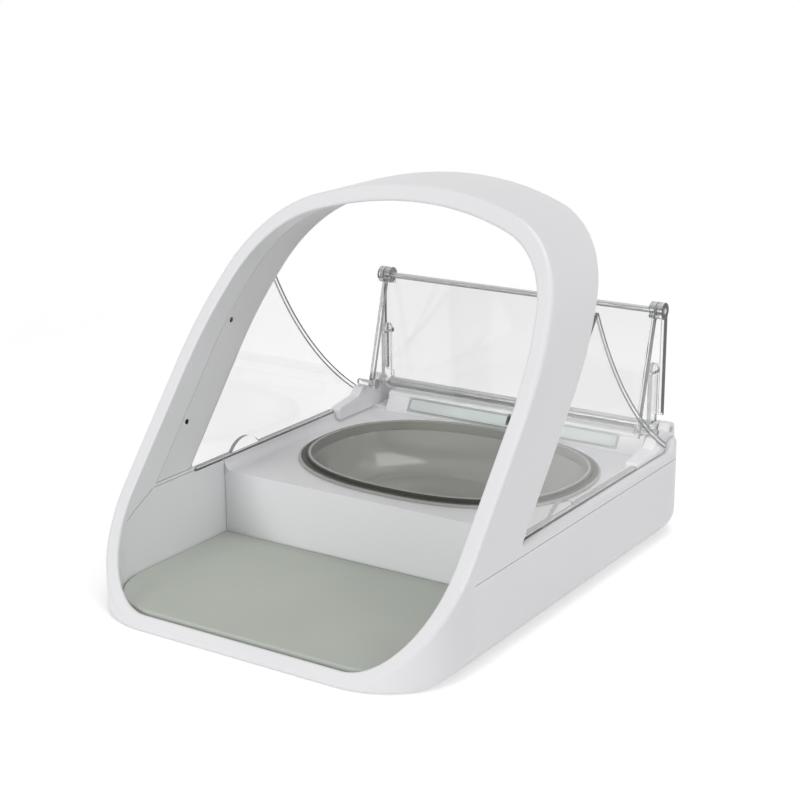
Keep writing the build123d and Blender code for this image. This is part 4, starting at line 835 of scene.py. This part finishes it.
@dataclass
class FrontJoint:
    """Joint of the lower and upper moulding at the arch's feet.

    The solids part at lower in the front band's outer half and at upper in its inner half, with an upright
    step between. The gap is closed here, and a fine line slopes down the inner wall beside the band.
    """

    lower: float = 48.5
    upper: float = 55.0
    gap: float = 0.4
    cut_below: float = 0.05
    overlap: float = 0.02
    slack: float = 0.01
    same_side: float = 1.0
    centre_ahead: float = 1.0
    inner: float = 107.2
    inner_reach: float = 0.3
    middle: float = 111.85
    outer_end: float = 13.0
    inner_end: float = 20.6
    step_sink: float = 0.05
    step_end: float = 4.0
    line_half: float = 0.16
    line_rise: float = 0.04
    slope_steps: int = 12
    half_width: float = 116.5
    slope_top: Pair = (63.6, 54.9)
    slope_foot: Pair = (39.8, 42.4)

    def section(self, height: float, side: Side, reach: Pair, end: float) -> list[Pair]:
        """Cuts the lower casing level and gives the outline of part of the band.

        Args:
            height: Height of the cut.
            side: Half of the feeder.
            reach: Least and greatest distance from the middle plane.
            end: Depth where the part ends behind the front face.

        Returns:
            X and depth pairs in order round the outline.
        """
        mesh = cad_mesh("lower_casing")
        everything = mesh.verts[:] + mesh.edges[:] + mesh.faces[:]
        cut = bmesh.ops.bisect_plane(mesh, geom=everything, plane_co=(0, 0, height * MM), plane_no=(0, 0, 1))
        cut_points = [item.co / MM for item in cut["geom_cut"] if isinstance(item, bmesh.types.BMVert)]
        mesh.free()
        stop = arch_face(height) + end
        outline = set()
        for point in cut_points:
            x, depth = side.value * point.x, point.y - FRONT_EDGE
            if reach[0] - self.slack <= x <= reach[1] and depth < stop:
                outline.add((round(x, 3), round(depth, 3)))
        deepest = max(outline, key=lambda spot: spot[1])
        opposite = reach[0] if abs(deepest[0] - reach[0]) > self.same_side else reach[1]
        outline |= {(deepest[0], stop), (opposite, stop)}
        middle = (sum(reach) / 2, stop - self.centre_ahead)
        return sorted(outline, key=lambda spot: math.atan2(spot[1] - middle[1], spot[0] - middle[0]))

    def plug(self, mesh: BMesh, side: Side, outline: list[Pair], cut: float, span: Pair) -> None:
        """Adds a slab that closes the joint level with the band's faces.

        Args:
            mesh: Mesh that gets the slab.
            side: Half of the feeder.
            outline: X and depth pairs at the cut.
            cut: Height of the cut.
            span: Lowest and highest point of the slab.
        """
        rings = []
        for height in span:
            back = arch_face(height) - arch_face(cut)
            points = [Vector((side.value * x, FRONT_EDGE + d + back, height)) * MM for x, d in outline]
            rings.append([mesh.verts.new(point) for point in points])
        bridge(mesh, *rings)
        mesh.faces.new(rings[0])
        mesh.faces.new(rings[1])

    def build(self, wardrobe: Wardrobe) -> None:
        """Makes the closed joint and the fine sloping line on each side.

        Args:
            wardrobe: Finishes.
        """
        for side in Side:
            self.build_closed(wardrobe, side)
            self.build_slope(wardrobe, side)

    def build_closed(self, wardrobe: Wardrobe, side: Side) -> None:
        """Closes the joint across the front band: outer half, step and inner half.

        Args:
            wardrobe: Finishes.
            side: Half of the feeder.
        """
        mesh = bmesh.new()
        halves = (
            (self.lower, (self.middle, self.half_width), self.outer_end),
            (self.upper, (self.inner - self.inner_reach, self.middle), self.inner_end),
        )
        for low, reach, end in halves:
            cut = low - self.cut_below
            outline = self.section(cut, side, reach, end)
            self.plug(mesh, side, outline, cut, (low - self.overlap, low + self.gap + self.overlap))
        face = arch_face(self.lower)
        near, far = self.middle - self.overlap, self.middle + self.gap + self.overlap
        back = face + self.step_end
        step = [(near, face), (far, face + self.step_sink), (far, back), (near, back)]
        self.plug(mesh, side, step, self.lower, (self.lower, self.upper + self.gap))
        piece = piece_from(mesh, f"front_joint_closed_{side.name.lower()}")
        wardrobe.add(piece, WHITE_ABS, Body.CASING, "lower_casing")

    def build_slope(self, wardrobe: Wardrobe, side: Side) -> None:
        """Makes the sloping stretch of the joint, which lies on the inner wall.

        Args:
            wardrobe: Finishes.
            side: Half of the feeder.
        """
        wall = cad_mesh("lower_casing")
        tree = BVHTree.FromBMesh(wall)
        wall.free()
        out = Vector((side.value, 0, 0))
        path = []
        for step in range(self.slope_steps + 1):
            share = step / self.slope_steps
            depth = self.slope_foot[0] + share * (self.slope_top[0] - self.slope_foot[0])
            height = self.slope_foot[1] + share * (self.slope_top[1] - self.slope_foot[1])
            spot, _, _, _ = tree.ray_cast(Vector((0, FRONT_EDGE + depth, height)) * MM, out)
            path.append(spot - out * self.line_rise * MM / 2)
        mesh = bmesh.new()
        sweep(mesh, path, self.line_rise * MM, self.line_half * MM, Vector((1, 0, 0)))
        piece = piece_from(mesh, f"inner_joint_slope_{side.name.lower()}")
        wardrobe.add(piece, JOINT_SHADOW, Body.CASING, "lower_casing")


@dataclass
class SensorRings:
    """Infrared sensors of the arch with the moulded rings round their lenses."""

    heights: Pair = (86.5, 139.0)
    behind: float = 27.0
    spring: float = 120.0
    half_width: float = 107.2
    curve: float = 175.7
    lens: float = 1.7
    ring: float = 2.5
    proud: float = 0.22
    sunk: float = 0.6
    outer_rise: float = 0.4
    inner_rise: float = 0.3
    outer_round: float = 0.2
    inner_round: float = 0.15

    def face(self, height: float) -> float:
        """Half width between the liner's faces at a height."""
        rise = max(height - self.spring, 0.0)
        return self.half_width - self.curve + math.sqrt(self.curve**2 - rise**2)

    def build(self, wardrobe: Wardrobe) -> None:
        """Dresses the lenses and makes their rings.

        Args:
            wardrobe: Finishes.
        """
        wardrobe.dress(LENS_RESIN, "ir_sensors")
        profile = [
            (self.lens, -self.sunk),
            (self.ring, -self.sunk),
            (self.ring, self.proud * self.outer_rise),
            (self.ring - self.outer_round, self.proud),
            (self.lens + self.inner_round, self.proud),
            (self.lens, self.proud * self.inner_rise),
        ]
        profile = [(r * MM, z * MM) for r, z in profile]
        mesh = bmesh.new()
        for side in Side:
            for height in self.heights:
                depth = arch_face(height) + self.behind
                place = Vector((side.value * self.face(height), FRONT_EDGE + depth, height)) * MM
                rise = max(height - self.spring, 0.0)
                tilt = math.asin(rise / self.curve)
                inward = Vector((-side.value * math.cos(tilt), 0.0, -math.sin(tilt)))
                spot = Matrix.Translation(place) @ inward.to_track_quat("Z", "Y").to_matrix().to_4x4()
                lathe(mesh, profile, spot)
        wardrobe.add(piece_from(mesh, "sensor_rings"), LINER_ABS, Body.CASING, "arch_liner")


@dataclass
class Screens:
    """Clear side screens with painted grey shade lines along their hollow rear edges."""

    inner: float = 110.6
    outer: float = 112.6
    top: Pair = (187.39, 161.0)
    heel: Pair = (284.0, 59.5)
    sag: float = 10.0
    line_half: float = 0.2
    rolled: float = 2.8
    steps: int = 48

    def curve(self, inset: float) -> list[Pair]:
        """Works out a line along the hollow rear edge.

        Args:
            inset: Distance in front of the edge.

        Returns:
            Depth and height pairs from the top to the heel.
        """
        span = math.dist(self.top, self.heel)
        radius = (span**2 / 4 + self.sag**2) / (2 * self.sag)
        middle = ((self.top[0] + self.heel[0]) / 2, (self.top[1] + self.heel[1]) / 2)
        ahead = ((self.heel[0] - self.top[0]) / span, (self.heel[1] - self.top[1]) / span)
        out = (-ahead[1], ahead[0])
        centre = (middle[0] + out[0] * (radius - self.sag), middle[1] + out[1] * (radius - self.sag))
        half = math.asin(span / 2 / radius)
        points = []
        for step in range(self.steps + 1):
            angle = half * (2 * step / self.steps - 1)
            along, back = (radius + inset) * math.sin(angle), (radius + inset) * math.cos(angle)
            points.append(
                (centre[0] + ahead[0] * along - out[0] * back, centre[1] + ahead[1] * along - out[1] * back)
            )
        return points

    def build(self, wardrobe: Wardrobe) -> None:
        """Dresses the screens and makes the painted shade lines of their rolled rear edges.

        Args:
            wardrobe: Finishes.
        """
        wardrobe.dress(SCREEN_ACRYLIC, "side_screen_left", "side_screen_right")
        # Painted shade: a grey line at each corner of the rolled edge and a darker one where it steps in.
        lines = (("corner", self.line_half, EDGE_LINE), ("step", self.rolled, STEP_SHADE_LINE))
        for side in Side:
            name = side.name.lower()
            for label, inset, finish in lines:
                mesh = bmesh.new()
                for x in (self.inner + self.line_half, self.outer - self.line_half):
                    path = [Vector((side.value * x, FRONT_EDGE + d, z)) * MM for d, z in self.curve(inset)]
                    sweep(mesh, path, self.line_half * MM, self.line_half * MM, Vector((1, 0, 0)))
                piece = piece_from(mesh, f"screen_edge_{label}_{name}")
                wardrobe.add(piece, finish, Body.CASING, f"side_screen_{name}")


@dataclass
class Lid:
    """Folding lid of two clear leaves with its arms, rods, housings, gear drive and service panel."""

    def dress(self, wardrobe: Wardrobe) -> None:
        """Puts the finishes on the lid's and the drive's nodes.

        Args:
            wardrobe: Finishes.
        """
        wardrobe.dress(REAR_ACRYLIC, "lid_rear_leaf")
        wardrobe.dress(FRONT_ACRYLIC, "lid_front_leaf")
        wardrobe.dress(ARM_ACRYLIC, "lid_arm_left", "lid_arm_right")
        wardrobe.dress(ALLOY_ROD, "lid_fold_rod")
        wardrobe.dress(STEEL_ROD, "lid_hinge_shaft", "lid_arm_rivets", "drive_motor")
        wardrobe.dress(NATURAL_ACETAL, "gear_sector", "drive_pinion")
        wardrobe.dress(WHITE_ABS, "drive_cover", "hinge_housing_left", "hinge_housing_right")
        wardrobe.dress(PANEL_POLYCARBONATE, "service_panel")


@dataclass
class PanelFrame:
    """Fine raised border of the clear service panel."""

    inset: float = 0.8
    corner: float = 2.0
    line_half: float = 0.28
    line_rise: float = 0.12
    corner_steps: int = 6
    face_slack: float = 0.1

    def build(self, wardrobe: Wardrobe) -> None:
        """Finds the panel's front face and runs a line round it.

        Args:
            wardrobe: Finishes.
        """
        mesh = cad_mesh("service_panel")
        facing = Vector(PANEL_FACING)
        front = max(vert.co.dot(facing) for vert in mesh.verts)
        limit = front - self.face_slack * MM
        corners = [vert.co.copy() for vert in mesh.verts if vert.co.dot(facing) > limit]
        mesh.free()
        up = facing.cross(Vector((1, 0, 0))).normalized()
        wide = [point.x for point in corners]
        high = [point.dot(up) for point in corners]
        gap = (self.inset + self.corner) * MM
        right, left = max(wide) - gap, min(wide) + gap
        top, foot = max(high) - gap, min(high) + gap
        spots = []
        for turn, (x, z) in enumerate(((right, top), (left, top), (left, foot), (right, foot))):
            for step in range(self.corner_steps + 1):
                angle = math.pi / 2 * (turn + step / self.corner_steps)
                across = Vector((math.cos(angle), 0, 0)) + up * math.sin(angle)
                spots.append(Vector((x, 0, 0)) + up * z + facing * front + across * self.corner * MM)
        path = [*spots, spots[0], spots[1]]
        border = bmesh.new()
        sweep_flat(border, path, self.line_half * MM, self.line_rise * MM, facing)
        wardrobe.add(piece_from(border, "service_panel_border"), PANEL_EDGE, Body.CASING, "service_panel")


@dataclass
class Bowl:
    """Lift-out bowl, its seal and the feeding mat."""

    half_x: float = 94.2
    half_y: float = 71.8
    square: float = 2.32
    centre_depth: float = 211.2
    skirt_inner: float = 4.9
    skirt_outer: float = 1.6
    skirt_low: float = 49.1
    skirt_high: float = 49.6
    skirt_edge: float = 0.25
    steps: int = 160

    def rim_point(self, inset: float, angle: float, height: float) -> Vector:
        """Works out a point of the bowl's outline, a superellipse.

        Args:
            inset: Distance inside the flange's edge.
            angle: Angle round the bowl in radians.
            height: Height above the table.

        Returns:
            The point in metres.
        """
        power = 2 / self.square
        along = math.copysign(abs(math.cos(angle)) ** power, math.cos(angle)) * (self.half_x - inset)
        deep = math.copysign(abs(math.sin(angle)) ** power, math.sin(angle)) * (self.half_y - inset)
        return Vector((along, FRONT_EDGE + self.centre_depth + deep, height)) * MM

    def dress(self, wardrobe: Wardrobe) -> None:
        """Puts the finishes on the bowl's, seal's and mat's nodes.

        Args:
            wardrobe: Finishes.
        """
        wardrobe.dress(BOWL_ABS, "bowl")
        wardrobe.dress(SEAL_RUBBER, "bowl_seal")
        wardrobe.dress(MAT_RUBBER, "feeding_mat")

    def build_flange_shade(self, wardrobe: Wardrobe) -> None:
        """Makes a thin dark ring in the seal's rubber that lies on the flange: painted shade, standing in
        for the flange's shadow outside the seal.

        Args:
            wardrobe: Finishes.
        """
        mid = (self.skirt_inner + self.skirt_outer) / 2
        profile = [
            (self.skirt_inner, self.skirt_low),
            (self.skirt_inner, self.skirt_high),
            (mid, self.skirt_high),
            (self.skirt_outer, self.skirt_low + self.skirt_edge),
            (self.skirt_outer, self.skirt_low),
        ]
        mesh = bmesh.new()
        rings = []
        for step in range(self.steps):
            angle = 2 * math.pi * step / self.steps
            rings.append([mesh.verts.new(self.rim_point(inset, angle, z)) for inset, z in profile])
        close_loop(mesh, rings)
        # Painted shade: the dark ring covers the flange where it lies in shadow.
        wardrobe.add(piece_from(mesh, "bowl_flange_painted_shade"), SEAL_RUBBER, Body.BOWL, "bowl_seal")


@dataclass
class Controls:
    """Rear buttons with their board, status light and delay slider."""

    height: float = 37.0
    face_depth: float = 313.7
    dot: float = 0.7
    dot_rise: float = 0.2
    dot_sink: float = 0.3
    dot_bore: float = 0.02
    dot_top: float = 0.6
    dot_facets: int = 20
    pair_half: float = 1.4

    def dress(self, wardrobe: Wardrobe) -> None:
        """Puts the finishes on the control nodes.

        Args:
            wardrobe: Finishes.
        """
        wardrobe.dress(GREY_ABS, "learn_button", "open_button")
        wardrobe.dress(LIGHT_PIPE, "status_light")
        wardrobe.dress(BLACK_ACETAL, "delay_switch")
        wardrobe.dress(LAMINATE, "button_board")

    def build_dots(self, wardrobe: Wardrobe) -> None:
        """Makes the raised dots that tell the two buttons apart by touch."""
        self.build_dot_row(wardrobe, "learn_button", Body.LEARN, (0.0,))
        self.build_dot_row(wardrobe, "open_button", Body.OPEN, (-self.pair_half, self.pair_half))

    def build_dot_row(self, wardrobe: Wardrobe, node: str, body: Body, offsets: tuple[float, ...]) -> None:
        """Makes one button's dots.

        Args:
            wardrobe: Finishes.
            node: Button's CAD node.
            body: Body that the button belongs to.
            offsets: Dots' places from the button's middle.
        """
        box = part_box(node)
        middle = (box[0][0] + box[1][0]) / 2 / MM
        profile = [(self.dot_bore, -self.dot_sink), (self.dot, -self.dot_sink), (self.dot, 0.0)]
        profile += [(self.dot * self.dot_top, self.dot_rise), (self.dot_bore, self.dot_rise)]
        profile = [(r * MM, z * MM) for r, z in profile]
        mesh = bmesh.new()
        turn = Matrix.Rotation(math.radians(-90), 4, "X")
        for offset in offsets:
            place = Vector((middle + offset, FRONT_EDGE + self.face_depth, self.height)) * MM
            lathe(mesh, profile, Matrix.Translation(place) @ turn, self.dot_facets)
        wardrobe.add(piece_from(mesh, f"{node}_dots"), PALE_ABS, body, node)


@dataclass
class Power:
    """Battery doors with their grip ribs, cells and contacts."""

    rib_count: int = 5
    rib_pitch: float = 2.2
    rib_half: float = 0.35
    rib_high: float = 0.35
    rib_reach: float = 14.0
    rib_depth: float = 286.5
    rib_sink: float = 0.3
    rib_soften: float = 0.12
    floor: float = 1.0

    def build(self, wardrobe: Wardrobe) -> None:
        """Dresses the doors and cells and makes the grip ribs.

        Args:
            wardrobe: Finishes.
        """
        wardrobe.dress(WHITE_ABS, "battery_door_left", "battery_door_right")
        wardrobe.dress(CAN, "battery_cells")
        wardrobe.dress(STEEL_ROD, "battery_contacts")
        for side, body in ((Side.LEFT, Body.DOOR_LEFT), (Side.RIGHT, Body.DOOR_RIGHT)):
            node = f"battery_door_{side.name.lower()}"
            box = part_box(node)
            middle = (box[0][0] + box[1][0]) / 2
            mesh = bmesh.new()
            for index in range(self.rib_count):
                y = (FRONT_EDGE + self.rib_depth + index * self.rib_pitch) * MM
                reach, half = self.rib_reach * MM, self.rib_half * MM
                low = Vector((middle - reach, y - half, (self.floor - self.rib_high) * MM))
                high = Vector((middle + reach, y + half, (self.floor + self.rib_sink) * MM))
                block(mesh, low, high, self.rib_soften * MM)
            wardrobe.add(piece_from(mesh, f"{node}_grip_ribs"), WHITE_ABS, body, node)


# ---------------------------------------------------------------- studio
@dataclass(frozen=True)
class Viewpoint:
    """Camera place and lens."""

    place: Triple = (0.5251, -0.7964, 0.3828)
    target: Triple = (-0.0289, 0.04675, 0.0850)
    roll_degrees: float = -0.368
    lens_mm: float = 77.46
    sensor_mm: float = 36.0

    def build(self) -> None:
        """Makes the camera and sets it as the scene's."""
        data = bpy.data.cameras.new("camera")
        data.lens = self.lens_mm
        data.sensor_width = self.sensor_mm
        camera = add_object("camera", data)
        ahead = (Vector(self.target) - Vector(self.place)).normalized()
        right = ahead.cross(Vector((0, 0, 1))).normalized()
        up = right.cross(ahead)
        turn = math.radians(self.roll_degrees)
        across = math.cos(turn) * right + math.sin(turn) * up
        upward = -math.sin(turn) * right + math.cos(turn) * up
        matrix = Matrix((across, upward, -ahead)).transposed().to_4x4()
        matrix.translation = Vector(self.place)
        camera.matrix_world = matrix
        bpy.context.scene.camera = camera


@dataclass(frozen=True)
class Softbox:
    """Square studio lamp aimed at the feeder; mirrored says whether glossy faces show it."""

    name: str
    place: Triple
    size: float
    watts: float
    aim: Triple = (0.0, 0.0, 0.08)
    mirrored: bool = True

    def build(self) -> None:
        """Makes the lamp."""
        data = bpy.data.lights.new(self.name, "AREA")
        data.shape = "SQUARE"
        data.size = self.size
        data.energy = self.watts
        lamp = add_object(self.name, data)
        lamp.location = self.place
        lamp.visible_glossy = self.mirrored
        away = Vector(self.place) - Vector(self.aim)
        lamp.rotation_mode = "QUATERNION"
        lamp.rotation_quaternion = away.to_track_quat("Z", "Y")


@dataclass(frozen=True)
class Studio:
    """Plain pale floor, white surroundings and soft lamps."""

    lamps: tuple[Softbox, ...] = (
        Softbox("front", (-0.4, -1.9, 0.35), 0.6, 15.0, mirrored=False),
        Softbox("top", (0.2, 0.3, 1.9), 1.0, 10.0),
        Softbox("right", (1.9, -0.6, 0.9), 1.0, 11.0),
    )
    floor_half: float = 6.0
    floor_tone: str = "#EFEFEF"
    floor_lift: float = 0.4
    near: float = 0.42
    far: float = 0.85
    world_fill: float = 0.4

    def seen(self, tree: Tree) -> Socket:
        """Adds nodes that are 1 for what the eye, a mirror or clear plastic sees.

        Args:
            tree: Node tree that gets the nodes.

        Returns:
            The result's socket.
        """
        path = add_node(tree, "ShaderNodeLightPath")
        first = compute(tree, "MAXIMUM", path.outputs["Is Camera Ray"], path.outputs["Is Glossy Ray"])
        return compute(tree, "MAXIMUM", first, path.outputs["Is Transmission Ray"])

    def build_floor(self) -> None:
        """Makes the floor: pale and shadowed near the feeder, plain white further out."""
        mesh = bpy.data.meshes.new("floor")
        reach = self.floor_half
        corners = [(-reach, -reach, 0), (reach, -reach, 0), (reach, reach, 0), (-reach, reach, 0)]
        mesh.from_pydata(corners, [], [(0, 1, 2, 3)])
        floor = add_object("floor", mesh)
        material, tree, output = new_material("paper_rolled_white_floor")
        paper = add_node(tree, "ShaderNodeBsdfDiffuse", {"Color": linear(self.floor_tone)})
        seen = self.seen(tree)
        lift = compute(tree, "MULTIPLY", seen, self.floor_lift)
        glow = add_node(tree, "ShaderNodeEmission", {"Color": linear("#FFFFFF"), "Strength": lift})
        near = add_node(tree, "ShaderNodeAddShader", {0: paper.outputs[0], 1: glow.outputs[0]})
        white = add_node(tree, "ShaderNodeEmission", {"Color": linear("#FFFFFF"), "Strength": 1.0})
        place = add_node(tree, "ShaderNodeTexCoord")
        distance = add_node(tree, "ShaderNodeVectorMath", {0: place.outputs["Object"]}, operation="LENGTH")
        fade = add_node(
            tree,
            "ShaderNodeMapRange",
            {"Value": distance.outputs["Value"], "From Min": self.near, "From Max": self.far},
            interpolation_type="SMOOTHSTEP",
        )
        share = compute(tree, "MULTIPLY", fade.outputs[0], seen)
        mix = add_node(tree, "ShaderNodeMixShader", {0: share, 1: near.outputs[0], 2: white.outputs[0]})
        tree.links.new(mix.outputs[0], output.inputs[0])
        mesh.materials.append(material)

    def build_world(self) -> None:
        """Makes the surroundings: white to the eye and in mirrors, dimmer as a source of light."""
        world = bpy.data.worlds.new("studio")
        bpy.context.scene.world = world
        world.use_nodes = True
        tree = world.node_tree
        tree.nodes.clear()
        seen = self.seen(tree)
        tone = linear("#FFFFFF")
        fill = add_node(tree, "ShaderNodeBackground", {"Color": tone, "Strength": self.world_fill})
        white = add_node(tree, "ShaderNodeBackground", {"Color": tone, "Strength": 1.0})
        mix = add_node(tree, "ShaderNodeMixShader", {0: seen, 1: fill.outputs[0], 2: white.outputs[0]})
        output = add_node(tree, "ShaderNodeOutputWorld")
        tree.links.new(mix.outputs[0], output.inputs[0])

    def build(self) -> None:
        """Makes lamps, floor and surroundings."""
        for lamp in self.lamps:
            lamp.build()
        self.build_floor()
        self.build_world()
        bpy.context.scene.view_settings.view_transform = "Standard"


def main() -> None:
    """Dresses the feeder, adds its fine pieces and sets up the studio."""
    logging.basicConfig(level=logging.INFO)
    wardrobe = Wardrobe()
    casing = Casing()
    casing.dress(wardrobe)
    casing.build_screw_cross_shade(wardrobe)
    CornerWall().build(wardrobe)
    SensorRings().build(wardrobe)
    Screens().build(wardrobe)
    Lid().dress(wardrobe)
    PanelFrame().build(wardrobe)
    bowl = Bowl()
    bowl.dress(wardrobe)
    bowl.build_flange_shade(wardrobe)
    FrontJoint().build(wardrobe)
    controls = Controls()
    controls.dress(wardrobe)
    controls.build_dots(wardrobe)
    Power().build(wardrobe)
    Viewpoint().build()
    Studio().build()


if __name__ == "__main__":
    main()
